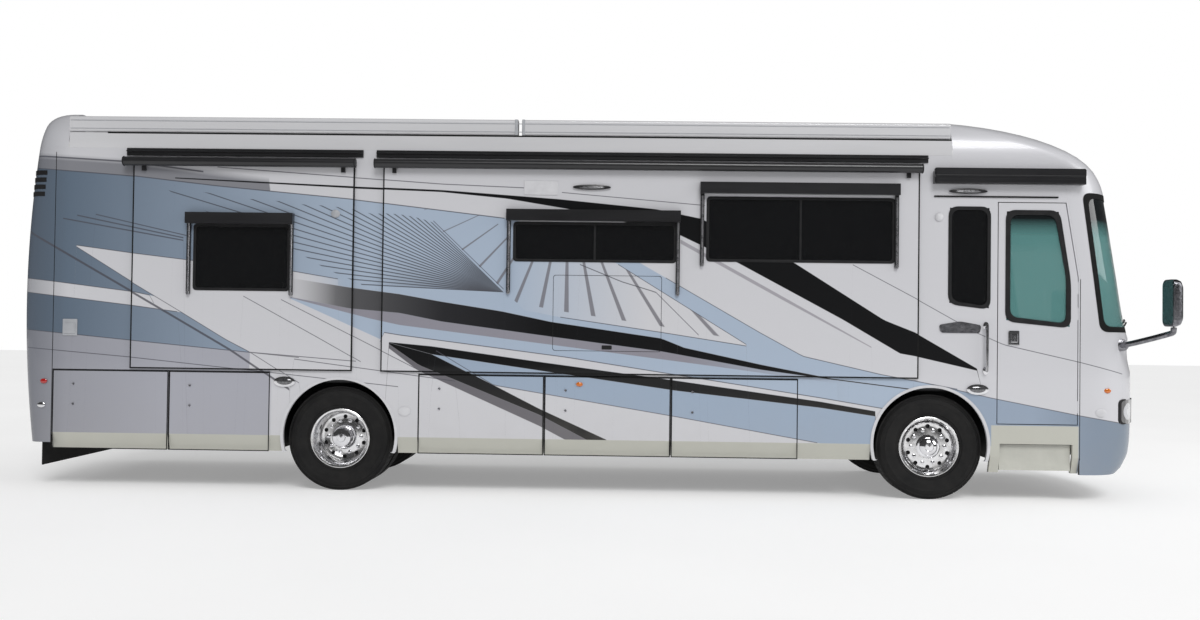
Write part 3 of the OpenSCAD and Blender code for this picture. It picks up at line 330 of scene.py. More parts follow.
# The spear goes from pale grey to black over this length.
SPEAR_FADE = 2.6
SPEAR_STOPS = [(0, (0.3, 0.3, 0.31)), (0.25, (0.085, 0.085, 0.09)), (0.6, (0.02, 0.02, 0.023)), (1, BLACK)]


class CoachPaint(Finish):
    """Pearl paint whose swept bands end at curves of height along the coach."""

    soft = 0.005 / ART_H

    def __init__(self, name):
        super().__init__(name)
        self.along = self.x - FRONT_AXLE
        self.art_u = (self.x - (FRONT_AXLE + ART_X0)) * (1 / ART_LEN)
        self.height = self.z * (1 / ART_H)

    def edge(self, points, off_ends=True):
        """Height of a painted edge, as a share of ART_H; past its ends it drops to the ground."""
        shares = [((x - ART_X0) / ART_LEN, z / ART_H) for x, z in points]
        if off_ends:
            gap = 0.002
            shares = [(shares[0][0] - gap, 0), *shares, (shares[-1][0] + gap, 0)]
            shares = [(0, 0), *shares, (1, 0)] if shares[0][0] > 0 and shares[-1][0] < 1 else shares
        return self.node("ShaderNodeFloatCurve", {"points": shares}, Value=self.art_u)

    def under(self, points, blur=1.0, off_ends=True):
        return self.step(self.edge(points, off_ends) - self.height, 0, self.soft * blur)

    def between(self, top, low, blur=1.0):
        return self.under(top, blur) * (1 - self.under(low, blur))

    def stroke(self, half_width, points):
        gap = abs(self.edge(points) - self.height)
        return self.math(
            "MULTIPLY_ADD", gap, -1 / self.soft, 0.5 + half_width / ART_H / self.soft, clamp=True
        )

    def polar(self, across, up):
        """Angle in degrees and distance of a place given from a middle."""
        angle = self.math("ARCTAN2", across, up) * (180 / math.pi)
        return angle, (across * across + up * up).math("SQRT")


def rear_bands(paint, upper):
    """Slate and pale blue fields of the rear half, the silver band and the white needle."""
    along = paint.along
    blue = paint.mix(paint.step(along, -7.3, 3.4), SLATE, PALE_BLUE)
    silver_grey = paint.mix(paint.step(along, -6.6, 0.03), SILVER, WHITE)
    colour = paint.mix(paint.step(along, -8.4, 1.6), TAIL_SILVER, silver_grey)
    colour = paint.mix(upper, colour, WHITE)
    shade = paint.between(TOP_SHADE_TOP, TOP_SHADE_LOW, 14)
    colour = paint.mix(shade * upper * 0.75, colour, (0.10, 0.105, 0.125))
    rear_field = paint.under(REAR_BLUE_TOP) * (1 - paint.under(REAR_BLUE_LOW))
    colour = paint.mix(rear_field * (1 - paint.under(SPEAR_TOP)), colour, blue)
    colour = paint.mix(paint.between(SILVER_BAND_TOP, SILVER_BAND_LOW), colour, WHITE)
    needle = paint.between(NEEDLE_TOP, NEEDLE_LOW) * paint.step(-1 * along, 6.05, 0.7)
    body_white = paint.between(BODY_WHITE_TOP, BODY_WHITE_LOW, 2)
    colour = paint.mix(body_white * (1 - paint.step(along, -6.2, 0.7)), colour, WHITE)
    return paint.mix(needle, colour, WHITE)


def sun_rays(paint, colour):
    """Pale blue ribbon and fan that fade to white, crossed by wide rays that spread from the sun."""
    along = paint.along
    fan_colour = paint.mix(paint.step(along, -3.5, 1.4), PALE_BLUE, WHITE)
    left_edge = paint.step(paint.z + along * 0.94, FOCUS[1] + FOCUS[0] * 0.94, 0.006)
    fan = paint.between(RIBBON_LOW, FAN_LOW) * left_edge
    colour = paint.mix(paint.between(RIBBON_TOP, SPEAR_TOP), colour, PALE_BLUE)
    colour = paint.mix(fan, colour, fan_colour)
    sun_angle, sun_r = paint.polar(along - SUN[0], SUN[1] - paint.z)
    ray_gap = abs(((sun_angle / RAY_STEP) + 100.5).math("FRACT") - 0.5) * RAY_STEP
    ray_half = paint.math("MULTIPLY_ADD", abs(sun_angle), -0.012, 1.0)
    rays = paint.step(ray_half - ray_gap, 0, 0.25) * fan * paint.step(sun_r, 0.86, 0.01)
    rays = rays * (1 - paint.between(RAY_FOOT, FAN_LOW))
    return paint.mix(rays * 0.85, colour, (0.16, 0.155, 0.175))


def focus_lines(paint, colour, upper):
    """Fine lines that run together at the focus, each reaching back by its own length."""
    angle, distance = paint.polar(paint.z - (FOCUS[1] - 0.02), FOCUS[0] - paint.along)
    reach = [(a / LINE_SECTOR, r / ART_H) for a, r in LINE_REACH]
    limit = paint.node("ShaderNodeFloatCurve", {"points": reach}, Value=angle / LINE_SECTOR)
    gap = abs((angle / LINE_STEP).math("FRACT") - 0.5) * math.radians(LINE_STEP) * distance
    fine = paint.step(0.0055 - gap, 0, 0.004) * paint.step(limit * ART_H - distance, 0, 0.01)
    sector = paint.step(angle, 2.2, 0.3) * (1 - paint.step(angle, 43.6, 0.3))
    zone = sector * (1 - paint.under(SPEAR_TOP)) * (1 - upper)
    colour = paint.mix(fine * zone * 0.85, colour, (0.07, 0.075, 0.09))
    dense = (1 - paint.step(distance, 0.75, 1.3)) * (1 - paint.step(angle, 14, 22)) * zone
    return paint.mix(dense * 0.8, colour, (0.06, 0.06, 0.07))


def spear_and_blade(paint, colour):
    """Spear, mauve shadow, pale band, white band, the black blade with its branch, and the swoop."""
    along = paint.along
    colour = paint.mix(paint.between(SPEAR_LOW, [(-6.45, 1.94), *BLADE_TOP], 1), colour, PALE_BLUE)
    mauve = paint.between(SPEAR_LOW, MAUVE_LOW) * (1 - paint.step(along, -1.6, 1.6))
    colour = paint.mix(mauve * 0.9, colour, MAUVE)
    colour = paint.mix(paint.between(WHITE_BAND_TOP, BLADE_TOP), colour, WHITE)
    spear_u = paint.math("MULTIPLY_ADD", along, 1 / SPEAR_FADE, -SPEAR_TOP[0][0] / SPEAR_FADE, clamp=True)
    spear_colour = paint.node("ShaderNodeValToRGB", {"stops": SPEAR_STOPS}, spear_u)
    spear = paint.between(SPEAR_TOP, SPEAR_LOW) * paint.step(along, -6.2, 0.5)
    colour = paint.mix(spear, colour, spear_colour)
    lower_blue = paint.between(BLADE_LOW, LOWER_BLUE_LOW) * (1 - paint.under(BRANCH_TOP))
    colour = paint.mix(lower_blue, colour, (0.3, 0.37, 0.47))
    colour = paint.mix(paint.between(BRANCH_LOW, BRANCH_GREY), colour, (0.13, 0.125, 0.14))
    blade = paint.between(BLADE_TOP, BLADE_LOW)
    black = paint.between(BRANCH_TOP, BRANCH_LOW).math("MAXIMUM", blade)
    black = black.math("MAXIMUM", paint.between(SWOOP_TOP, SWOOP_LOW))
    colour = paint.mix(black, colour, BLACK)
    return paint.mix(paint.between(GREY_STROKE_TOP, GREY_STROKE_LOW) * 0.7, colour, MAUVE)


def front_and_skirt(paint, colour):
    """Blue of the nose, fine lines, and the beige strip that tucks under the skirts."""
    along = paint.along
    front_blue = paint.under(FRONT_BLUE_TOP) * paint.step(along, 0.1, 0.02)
    front_tone = paint.mix(paint.step(along, 1.6, 1.2), (0.27, 0.33, 0.42), (0.13, 0.17, 0.22))
    colour = paint.mix(front_blue, colour, front_tone)
    lines = paint.stroke(*STROKES[0])
    for half_width, points in STROKES[1:]:
        lines = lines.math("MAXIMUM", paint.stroke(half_width, points))
    colour = paint.mix(lines * 0.85, colour, LINE_GREY)
    walls = 1 - paint.step(along, WALL_FRONT - FRONT_AXLE - 0.01, 0.01)
    strip = (1 - paint.step(paint.z, TUCK_TOP + 0.002, 0.004)) * walls * paint.step(paint.x, WALL_REAR, 0.01)
    step_zone = (1 - paint.step(paint.z, 0.75, 0.004)) * paint.step(along, 0.6, 0.01) * walls
    return paint.mix(strip.math("MAXIMUM", step_zone), colour, SKIRT_BEIGE)


def bare_sides(paint, colour, inner_colour, edge_colour):
    """Keeps the artwork to the outer skin; cut edges and the inner side have plain colours, and a black edge
    colour is painted shade in the seams between panels.
    """
    tuck = TUCK_IN / (TUCK_TOP - SKIRT)
    depth = abs(paint.y) + paint.math("MULTIPLY_ADD", paint.z, -tuck, TUCK_TOP * tuck, clamp=True)
    skin = paint.step(depth, HALF - 0.006, 0.002)
    inside = 1 - paint.step(depth, HALF - (WALL_T - 0.008), 0.004)
    skin = skin.math("MAXIMUM", paint.step(paint.z, SIDE_TOP - 0.04, 0.01))
    ends = paint.step(paint.along, 1.3, 0.002).math(
        "MAXIMUM", 1 - paint.step(paint.x, WALL_REAR - 0.02, 0.002)
    )
    return paint.mix(skin.math("MAXIMUM", ends), paint.mix(inside, edge_colour, inner_colour), colour)


def coach_paint(name, inner_colour, edge_colour):
    paint = CoachPaint(name)
    # Everything above the rear blue is white, with a grey shade under the top line.
    upper = 1 - paint.under(REAR_BLUE_TOP, off_ends=False)
    colour = sun_rays(paint, rear_bands(paint, upper))
    colour = spear_and_blade(paint, focus_lines(paint, colour, upper))
    colour = front_and_skirt(paint, colour)
    # The tail grows darker, and the paint grows darker, browner and rougher in patches towards the bottom.
    colour = paint.mix((1 - paint.step(paint.along, -8.85, 0.35)) * 0.45, colour, (0.09, 0.1, 0.12))
    rough_patches = (1 - paint.step(paint.z, 0.62, 0.9)) * paint.noise(5.0, 5.0)
    colour = bare_sides(paint, paint.mix(rough_patches * 0.3, colour, (0.3, 0.28, 0.25)), inner_colour, edge_colour)
    flake = paint.noise(900.0, 1.0)
    peel = paint.noise(45.0, 2.0)
    roughness = paint.math("MULTIPLY_ADD", flake, 0.08, 0.3) + rough_patches * 0.25
    normal = paint.bump(peel, 0.05, 0.001, paint.bump(flake, 0.06, 0.0003))
    return paint.finish(
        colour, roughness, normal, Metallic=0.1, Coat_Weight=0.35, Coat_Roughness=0.04, Specular_IOR_Level=0.2
    )


# ---- Other finishes ----


def mottled(
    name, dark, light, scale, roughness, spread=0.1, bump=0.3, depth=0.0005, stretch=None, **constants
):
    """Surface whose colour wanders between two tones, with a matching grain and roughness."""
    finish = Finish(name)
    wander = finish.noise(scale, 4.0, 0.6, stretch)
    grain = finish.noise(scale * 9, 3.0, 0.6, stretch)
    share = finish.math("MULTIPLY_ADD", wander, 2.2, -0.6, clamp=True)
    colour = finish.mix(share, dark, light)
    rough = finish.math("MULTIPLY_ADD", wander + grain, spread, roughness - spread, clamp=True)
    return finish.finish(colour, rough, finish.bump(grain, bump, depth), **constants)


def polished_metal(name, centre_x):
    """Bright turned aluminium, its fine rings centred on a wheel."""
    metal = Finish(name)
    dx, dz = metal.x - centre_x, metal.z - AXLE_Z
    radius = (dx * dx + dz * dz).math("SQRT")
    rings = metal.node("ShaderNodeTexNoise", {"noise_dimensions": "1D"}, W=radius, Scale=400.0, Detail=1.0)
    cloud = metal.noise(9.0, 4.0)
    rough_patches = metal.step(cloud, 0.56, 0.3)
    colour = metal.mix(rough_patches * 0.35, (0.78, 0.78, 0.79), (0.42, 0.4, 0.37))
    roughness = rings * 0.1 + rough_patches * 0.22 + 0.1
    return metal.finish(colour, roughness, metal.bump(rings, 0.05, 0.0003), Metallic=1.0)


def glass(name, clear, tinted, alpha, tint_from=9.0, specks=0.0):
    """Coated pane that darkens above a height."""
    pane = Finish(name)
    haze = pane.noise(3.0, 4.0)
    tint = pane.step(pane.z, tint_from, 0.18)
    colour = pane.mix(tint, clear, tinted)
    opacity = pane.math("MULTIPLY_ADD", tint, 0.97 - alpha, alpha)
    if specks:
        sparkle = pane.step(pane.noise(260.0, 1.0), 0.71, 0.05)
        colour = pane.mix(sparkle * specks, colour, (0.16, 0.17, 0.15))
    roughness = pane.math("MULTIPLY_ADD", haze, 0.08, 0.02)
    return pane.finish(colour, roughness, None, opacity, IOR=1.5, Coat_Weight=0.6, Coat_Roughness=0.02)


def lamp_face(name):
    """Lamp clusters: headlamp bowls at the front, round red, amber and clear lights at the rear."""
    lamp = Finish(name)
    side = abs(lamp.y)
    colour = lamp.mix(lamp.step(lamp.x, 0, 0.01), (0.25, 0.006, 0.006), (0.012, 0.012, 0.014))
    shine = lamp.step(lamp.x, -99, 0.01) * 0.08
    for y, z, radius, bowl, lens in (
        (1.07, 0.895, 0.085, (0.3, 0.31, 0.33), (0.55, 0.56, 0.58)),
        (0.9, 0.895, 0.075, (0.25, 0.26, 0.28), (0.5, 0.51, 0.53)),
        (1.02, 1.33, 0.07, (0.5, 0.015, 0.012), (0.75, 0.03, 0.02)),
        (1.02, 1.175, 0.07, (0.55, 0.2, 0.01), (0.8, 0.33, 0.03)),
        (1.02, 1.02, 0.07, (0.5, 0.5, 0.52), (0.8, 0.8, 0.82)),
    ):
        dy, dz = side - y, lamp.z - z
        distance = (dy * dy + dz * dz).math("SQRT")
        front = lamp.step(lamp.x, 0, 0.01)
        here = front if z < 1 and radius > 0.07 else 1 - front
        ribs = abs((distance * (1 / (radius * 0.12))).math("FRACT") - 0.5) * 2
        disc = lamp.step(radius - distance, 0, 0.003) * here
        colour = lamp.mix(disc, colour, lamp.mix(ribs, bowl, lens))
        bulb = lamp.step(radius * 0.35 - distance, 0, 0.004) * here
        colour = lamp.mix(bulb, colour, lens)
    haze = lamp.noise(30.0, 3.0)
    normal = lamp.bump(haze, 0.05, 0.0005)
    return lamp.finish(colour, haze * 0.06 + shine, normal, Coat_Weight=1.0, Coat_Roughness=0.02)


def floor_boards(name):
    """Boards inside, with the slab's outer edges and underside black."""
    boards = Finish(name)
    grain = boards.noise(7.0, 5.0, 0.6, (1, 14, 14))
    seam = abs((boards.y * (1 / 0.16)).math("FRACT") - 0.5)
    colour = boards.mix(grain, (0.16, 0.09, 0.045), (0.36, 0.23, 0.12))
    colour = boards.mix(boards.step(seam, 0.485, 0.01), colour, (0.03, 0.02, 0.012))
    inside = boards.step(boards.z, FLOOR_TOP - 0.004, 0.002) * (
        1 - boards.step(abs(boards.y), HALF - 0.07, 0.01)
    )
    well = boards.step(boards.x, FRONT_AXLE + 0.66, 0.01) * (
        1 - boards.step(boards.z, FLOOR_TOP - 0.01, 0.01)
    )
    colour = boards.mix(well * 0.9, colour, (0.12, 0.115, 0.11))
    colour = boards.mix((1 - inside) * (1 - well), colour, (0.012, 0.012, 0.013))
    return boards.finish(colour, grain * 0.2 + 0.4, boards.bump(grain, 0.2, 0.001))


LINER = (0.45, 0.41, 0.35)
# Black on the coach paint's cut edges is painted shade in the seams between panels and doors.
PAINT = coach_paint("coach_paint", LINER, BLACK)
SLIDE_PAINT = coach_paint("slide_room_paint", (0.5, 0.5, 0.5), (0.5, 0.5, 0.5))
CAP_LINER = mottled("cap_liner", (0.05, 0.05, 0.052), (0.09, 0.088, 0.085), 6, 0.8)
ROOF_WHITE = mottled("roof_white", (0.5, 0.5, 0.5), (0.6, 0.6, 0.605), 2.5, 0.42, Coat_Weight=0.3)
CASE_WHITE = mottled(
    "awning_white", (0.5, 0.5, 0.515), (0.56, 0.56, 0.575), 3, 0.35, stretch=(0.1, 1, 1), Coat_Weight=0.4
)
CASE_BLACK = mottled(
    "awning_black", (0.006, 0.006, 0.007), (0.013, 0.013, 0.015), 4, 0.32, stretch=(0.15, 1, 1),
    Coat_Weight=0.15
)
TRIM_BLACK = mottled(
    "black_trim", (0.007, 0.007, 0.008), (0.014, 0.014, 0.015), 12, 0.5, Specular_IOR_Level=0.25
)
SEAM_BLACK = mottled(
    "seal_rubber", (0.004, 0.004, 0.004), (0.009, 0.009, 0.009), 20, 0.75, Specular_IOR_Level=0.2
)
CHASSIS = mottled(
    "chassis_black", (0.008, 0.008, 0.009), (0.03, 0.028, 0.026), 5, 0.6, bump=0.4, depth=0.001,
    Specular_IOR_Level=0.25
)
UNDER_GREY = mottled("bay_lining", (0.05, 0.05, 0.052), (0.09, 0.088, 0.085), 7, 0.8, bump=0.5, depth=0.001)
ENGINE_GREY = mottled(
    "engine_castings", (0.08, 0.08, 0.08), (0.17, 0.165, 0.155), 8, 0.6, bump=0.5, depth=0.002
)
RUBBER = mottled(
    "tyre_rubber", (0.006, 0.006, 0.0065), (0.015, 0.0145, 0.014), 6, 0.72, bump=0.4, depth=0.0006,
    Specular_IOR_Level=0.22
)
CHROME = mottled("chrome", (0.62, 0.62, 0.64), (0.82, 0.82, 0.84), 9, 0.09, 0.05, 0.1, 0.0004, Metallic=1.0)
DARK_CHROME = mottled(
    "dark_chrome", (0.1, 0.1, 0.11), (0.3, 0.3, 0.32), 40, 0.2, 0.08, 0.5, 0.002, Metallic=1.0
)
ARM_METAL = mottled("arm_aluminium", (0.3, 0.3, 0.32), (0.5, 0.5, 0.52), 14, 0.28, Metallic=1.0)
LEATHER = mottled("seat_leather", (0.2, 0.165, 0.125), (0.3, 0.25, 0.195), 14, 0.5, bump=0.6, depth=0.0012)
DASH = mottled("dash_plastic", (0.03, 0.028, 0.026), (0.055, 0.05, 0.047), 16, 0.6, bump=0.5, depth=0.0008)
BEIGE = mottled("step_beige", (0.4, 0.4, 0.36), (0.5, 0.5, 0.45), 3, 0.4, Coat_Weight=0.3)
AMBER = mottled("amber_lens", (0.42, 0.09, 0.006), (0.62, 0.17, 0.012), 60, 0.12, Coat_Weight=1.0)
RED = mottled("red_lens", (0.28, 0.006, 0.006), (0.42, 0.012, 0.01), 60, 0.12, Coat_Weight=1.0)
CLEAR_LENS = mottled(
    "clear_lens", (0.06, 0.06, 0.065), (0.2, 0.2, 0.21), 50, 0.1, Coat_Weight=1.0, Metallic=0.6
)
GREY_PLASTIC = mottled("grey_cover", (0.3, 0.31, 0.33), (0.38, 0.39, 0.41), 10, 0.5)
WHITE_PLASTIC = mottled("white_cover", (0.5, 0.5, 0.52), (0.58, 0.58, 0.6), 10, 0.4)
DARK_GLASS = glass("dark_glass", (0.004, 0.0042, 0.005), (0.004, 0.004, 0.005), 0.97, specks=0.5)
TEAL_GLASS = glass("teal_glass", (0.12, 0.29, 0.28), (0.006, 0.008, 0.009), 0.62, tint_from=2.72)
FRONT_METAL = polished_metal("front_wheel_aluminium", FRONT_AXLE)
REAR_METAL = polished_metal("rear_wheel_aluminium", REAR_AXLE)
LAMP_FACE = lamp_face("lamp_faces")
BOARDS = floor_boards("floor_boards")

NODE_FINISHES = {
    "right_wall": PAINT, "left_wall": PAINT, "entry_door": PAINT, "bedroom_slide": SLIDE_PAINT,
    "living_slide": SLIDE_PAINT, "galley_slide": SLIDE_PAINT, "roof": ROOF_WHITE,
    "roof_air_conditioners": ROOF_WHITE, "patio_awnings": CASE_WHITE, "door_awning": CASE_BLACK,
    "bedroom_slide_awnings": CASE_BLACK, "living_slide_awnings": CASE_BLACK,
    "galley_slide_awning": CASE_BLACK,
    "side_windows": DARK_GLASS, "bedroom_slide_window": DARK_GLASS, "living_slide_windows": DARK_GLASS,
    "galley_slide_windows": DARK_GLASS, "entry_door_window": TEAL_GLASS, "floor": BOARDS,
    "right_storage_bays": UNDER_GREY, "left_storage_bays": UNDER_GREY, "engine": ENGINE_GREY,
    "front_axle": CHASSIS, "rear_axle": CHASSIS, "air_springs": RUBBER, "dashboard": DASH,
    "steering_wheel": DASH, "cockpit_seats": LEATHER, "lamps": LAMP_FACE, "mirrors": CHROME,
    "mud_flap": RUBBER, "entry_step": BEIGE,
}
for name, node in frame["nodes"].items():
    if "bay_door" in name:
        finish = PAINT
    elif name in NODE_FINISHES:
        finish = NODE_FINISHES[name]
    elif "tyre" in name:
        finish = RUBBER
    elif "rim" in name:
        finish = FRONT_METAL if "front" in name else REAR_METAL
    else:
        finish = CHASSIS
    node.data.materials.clear()
    node.data.materials.append(finish)


# ---- Mesh helpers ----


def rounded(points, radius, steps=6):
    """Outline with each corner rounded, point by point or all by one radius."""
    outline = []
    count = len(points)
    for i, corner in enumerate(points):
        here = Vector(corner)
        before = Vector(points[i - 1]) - here
        after = Vector(points[(i + 1) % count]) - here
        reach = min(radius, before.length * 0.49, after.length * 0.49)
        start = here + before.normalized() * reach
        end = here + after.normalized() * reach
        for s in range(steps + 1):
            t = s / steps
            outline.append(tuple(start * (1 - t) ** 2 + here * 2 * t * (1 - t) + end * t * t))
    return outline


def circle(radius, count, centre=(0, 0), lag=0.0):
    """Points evenly round a circle; lag turns them on by a share of one step."""
    angles = [2 * math.pi * (i + lag) / count for i in range(count)]
    return [(centre[0] + radius * math.cos(a), centre[1] + radius * math.sin(a)) for a in angles]


def scaled(outline, share_a, share_b, centre):
    """Outline drawn in towards a centre by one share each way."""
    ca, cb = centre
    return [(ca + (a - ca) * share_a, cb + (b - cb) * share_b) for a, b in outline]


def rectangle(a0, b0, a1, b1):
    return [(a0, b0), (a1, b0), (a1, b1), (a0, b1)]


def spread(point, axis, depth):
    """A point of a flat outline put in space: the outline lies across axis, at depth."""
    a, b = point
    return {"x": (depth, a, b), "y": (a, depth, b), "z": (a, b, depth)}[axis]


class Shape:
    """Closed solids gathered into one mesh, which becomes one piece."""

    def __init__(self):
        self.mesh = bmesh.new()

    def add(self, vertices, faces, bevel=0.0, segments=1):
        part = bmesh.new()
        made = [part.verts.new(v) for v in vertices]
        for face in faces:
            part.faces.new([made[i] for i in face])
        bmesh.ops.remove_doubles(part, verts=part.verts, dist=1e-6)
        bmesh.ops.recalc_face_normals(part, faces=part.faces)
        if bevel:
            sharp = [
                e for e in part.edges if len(e.link_faces) == 2 and e.calc_face_angle(0) > math.radians(40)
            ]
            bmesh.ops.bevel(
                part, geom=sharp, offset=bevel, segments=segments, affect="EDGES", clamp_overlap=True
            )
        carrier = bpy.data.meshes.new("part")
        part.to_mesh(carrier)
        part.free()
        self.mesh.from_mesh(carrier)
        bpy.data.meshes.remove(carrier)
        return self

    def loft(self, rings, closed=False, bevel=0.0):
        """Skin over rings of equally many points; closed joins the last ring to the first."""
        count = len(rings[0])
        vertices = [p for ring in rings for p in ring]
        faces = []
        for i in range(len(rings) - (0 if closed else 1)):
            a, b = i * count, ((i + 1) % len(rings)) * count
            for j in range(count):
                k = (j + 1) % count
                faces.append((a + j, a + k, b + k, b + j))
        if not closed:
            faces += [
                tuple(range(count - 1, -1, -1)), tuple(range((len(rings) - 1) * count, len(rings) * count))
            ]
        return self.add(vertices, faces, bevel)

    def prism(self, outline, axis, start, end, bevel=0.0):
        return self.loft([[spread(p, axis, d) for p in outline] for d in (start, end)], bevel=bevel)

    def box(self, low, high, bevel=0.0):
        return self.prism(rectangle(low[0], low[1], high[0], high[1]), "z", low[2], high[2], bevel)

    def band(self, outer, inner, axis, start, end, bevel=0.0):
        """Flat frame between two outlines of equally many points."""
        rings = [
            [spread(p, axis, d) for p in outline]
            for outline, d in ((outer, start), (outer, end), (inner, end), (inner, start))
        ]
        return self.loft(rings, closed=True, bevel=bevel)

    def turned(self, profile, centre, steps=96):
        """Closed profile of (radius, distance along Y) turned round the Y axis through centre."""
        rings = []
        for i in range(steps):
            a = 2 * math.pi * i / steps
            rings.append(
                [
                    (centre[0] + r * math.cos(a), centre[1] + y, centre[2] + r * math.sin(a))
                    for r, y in profile
                ]
            )
        return self.loft(rings, closed=True)

    def rod(self, path, radius, sides=16):
        """Round bar along a path, with its ends closed."""
        rings = []
        points = [Vector(p) for p in path]
        for i, point in enumerate(points):
            ahead = points[min(i + 1, len(points) - 1)] - points[max(i - 1, 0)]
            turn = ahead.to_track_quat("Z", "Y")
            ring = [
                point + turn @ Vector(
                    (
                        radius * math.cos(2 * math.pi * s / sides),
                        radius * math.sin(2 * math.pi * s / sides), 0
                    )
                )
                for s in range(sides)
            ]
            rings.append([tuple(p) for p in ring])
        return self.loft(rings)

    def oval(self, centre, size, axis="y", depth=0.01, dome=0.0, sides=32):
        """Flat oval button across axis, its front at centre, with a domed face."""
        rings = []
        for share, out in (
            (1, depth), (1, 0.25 * dome), (0.8, -0.35 * dome), (0.45, -0.8 * dome), (0.12, -dome)
        ):
            ring = []
            for s in range(sides):
                angle = 2 * math.pi * s / sides
                flat = (size[0] * share * math.cos(angle), size[1] * share * math.sin(angle))
                offset = Vector(spread(flat, axis, out))
                ring.append(tuple(Vector(centre) + offset))
            rings.append(ring)
        return self.loft(rings)

    def mirrored(self):
        """Adds the same solids on the other side of the coach."""
        double = self.mesh.copy()
        bmesh.ops.transform(double, matrix=Matrix.Scale(-1, 4, (0, 1, 0)), verts=double.verts)
        bmesh.ops.reverse_faces(double, faces=double.faces)
        carrier = bpy.data.meshes.new("part")
        double.to_mesh(carrier)
        double.free()
        self.mesh.from_mesh(carrier)
        bpy.data.meshes.remove(carrier)
        return self

    def piece(self, name, body, material, slot, angle=28, recalc=False):
        if recalc:
            bmesh.ops.recalc_face_normals(self.mesh, faces=self.mesh.faces)
        mesh = bpy.data.meshes.new(name)
        self.mesh.to_mesh(mesh)
        self.mesh.free()
        return settle(bpy.data.objects.new(name, mesh), body, material, angle)


def settle(thing, body, material, angle=28):
    """Names a mesh object's finish, smooths it and puts it on its body."""
    if thing.name not in bpy.context.scene.collection.objects:
        bpy.context.scene.collection.objects.link(thing)
    thing.data.materials.clear()
    for one in material if isinstance(material, (list, tuple)) else [material]:
        thing.data.materials.append(one)
    thing.data.polygons.foreach_set("use_smooth", [True] * len(thing.data.polygons))
    thing.data.set_sharp_from_angle(angle=math.radians(angle))
    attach(thing, body)
    return thing


def cut(thing, cutter, operation="DIFFERENCE"):
    """Applies one boolean step to a mesh object and drops the cutter."""
    step = thing.modifiers.new("cut", "BOOLEAN")
    step.operation = operation
    step.solver = "MANIFOLD"
    step.object = cutter
    dependencies = bpy.context.evaluated_depsgraph_get()
    mesh = bpy.data.meshes.new_from_object(thing.evaluated_get(dependencies))
    thing.modifiers.clear()
    thing.data = mesh
    bpy.data.objects.remove(cutter)
    return thing


def loose(shape, name="tool"):
    """A shape as a bare object, to cut with or to cut from."""
    mesh = bpy.data.meshes.new(name)
    bmesh.ops.triangulate(shape.mesh, faces=[f for f in shape.mesh.faces if len(f.verts) > 4])
    shape.mesh.to_mesh(mesh)
    shape.mesh.free()
    made = bpy.data.objects.new(name, mesh)
    bpy.context.scene.collection.objects.link(made)
    return made


# ---- Things that repeat, by Geometry Nodes ----


class CopyTree:
    """Geometry Nodes tree whose named inputs set how a small solid repeats."""

    def __init__(self, name, inputs):
        self.tree = bpy.data.node_groups.new(name, "GeometryNodeTree")
        face = self.tree.interface
        face.new_socket("Geometry", in_out="OUTPUT", socket_type="NodeSocketGeometry")
        face.new_socket("Geometry", in_out="INPUT", socket_type="NodeSocketGeometry")
        self.keys = {}
        for label, kind in [*inputs, ("Finish", "NodeSocketMaterial")]:
            self.keys[label] = face.new_socket(label, in_out="INPUT", socket_type=kind).identifier
        self.entry = self.tree.nodes.new("NodeGroupInput")

    def node(self, kind, settings=None, out=0, **feeds):
        made = self.tree.nodes.new(kind)
        for key, value in (settings or {}).items():
            setattr(made, key, value)
        for key, value in feeds.items():
            socket = made.inputs[key.replace("_", " ")]
            if isinstance(value, bpy.types.NodeSocket):
                self.tree.links.new(value, socket)
            else:
                socket.default_value = value
        return made.outputs[out]

    def given(self, label):
        return self.entry.outputs[label]

    def close(self, geometry):
        real = self.node("GeometryNodeRealizeInstances", Geometry=geometry)
        worn = self.node("GeometryNodeSetMaterial", Geometry=real, Material=self.given("Finish"))
        leave = self.tree.nodes.new("NodeGroupOutput")
        self.tree.links.new(worn, leave.inputs[0])

    def run(self, shape, name, **values):
        """Repeats a shape's solids and returns the result as a plain mesh object at the origin."""
        thing = loose(shape, name)
        repeat = thing.modifiers.new("repeat", "NODES")
        repeat.node_group = self.tree
        for label, value in values.items():
            repeat[self.keys[label.replace("_", " ")]] = value
        dependencies = bpy.context.evaluated_depsgraph_get()
        mesh = bpy.data.meshes.new_from_object(thing.evaluated_get(dependencies))
        thing.modifiers.clear()
        thing.data = mesh
        return thing


def ring_tree():
    """Copies round the Y axis in rows: the solid is drawn at the top of the ring, its outside towards +X."""
    inputs = [
        ("Count", "NodeSocketInt"), ("Radius", "NodeSocketFloat"), ("Rows", "NodeSocketInt"),
        ("Row pitch", "NodeSocketFloat"), ("Centre", "NodeSocketVector"),
    ]
    tree = CopyTree("Ring of copies", inputs)
    circle = tree.node("GeometryNodeMeshCircle", Vertices=tree.given("Count"), Radius=tree.given("Radius"))
    upright = tree.node("GeometryNodeTransform", Geometry=circle, Rotation=(math.pi / 2, 0, 0))
    place = tree.node("GeometryNodeInputPosition")
    facing = tree.node("FunctionNodeAlignRotationToVector", {"axis": "X", "pivot_axis": "Y"}, Vector=place)
    ring = tree.node(
        "GeometryNodeInstanceOnPoints", Points=upright, Instance=tree.given("Geometry"), Rotation=facing
    )
    offset = tree.node("ShaderNodeCombineXYZ", Y=tree.given("Row pitch"))
    line = tree.node(
        "GeometryNodeMeshLine", Count=tree.given("Rows"), Start_Location=tree.given("Centre"), Offset=offset
    )
    tree.close(tree.node("GeometryNodeInstanceOnPoints", Points=line, Instance=ring))
    return tree


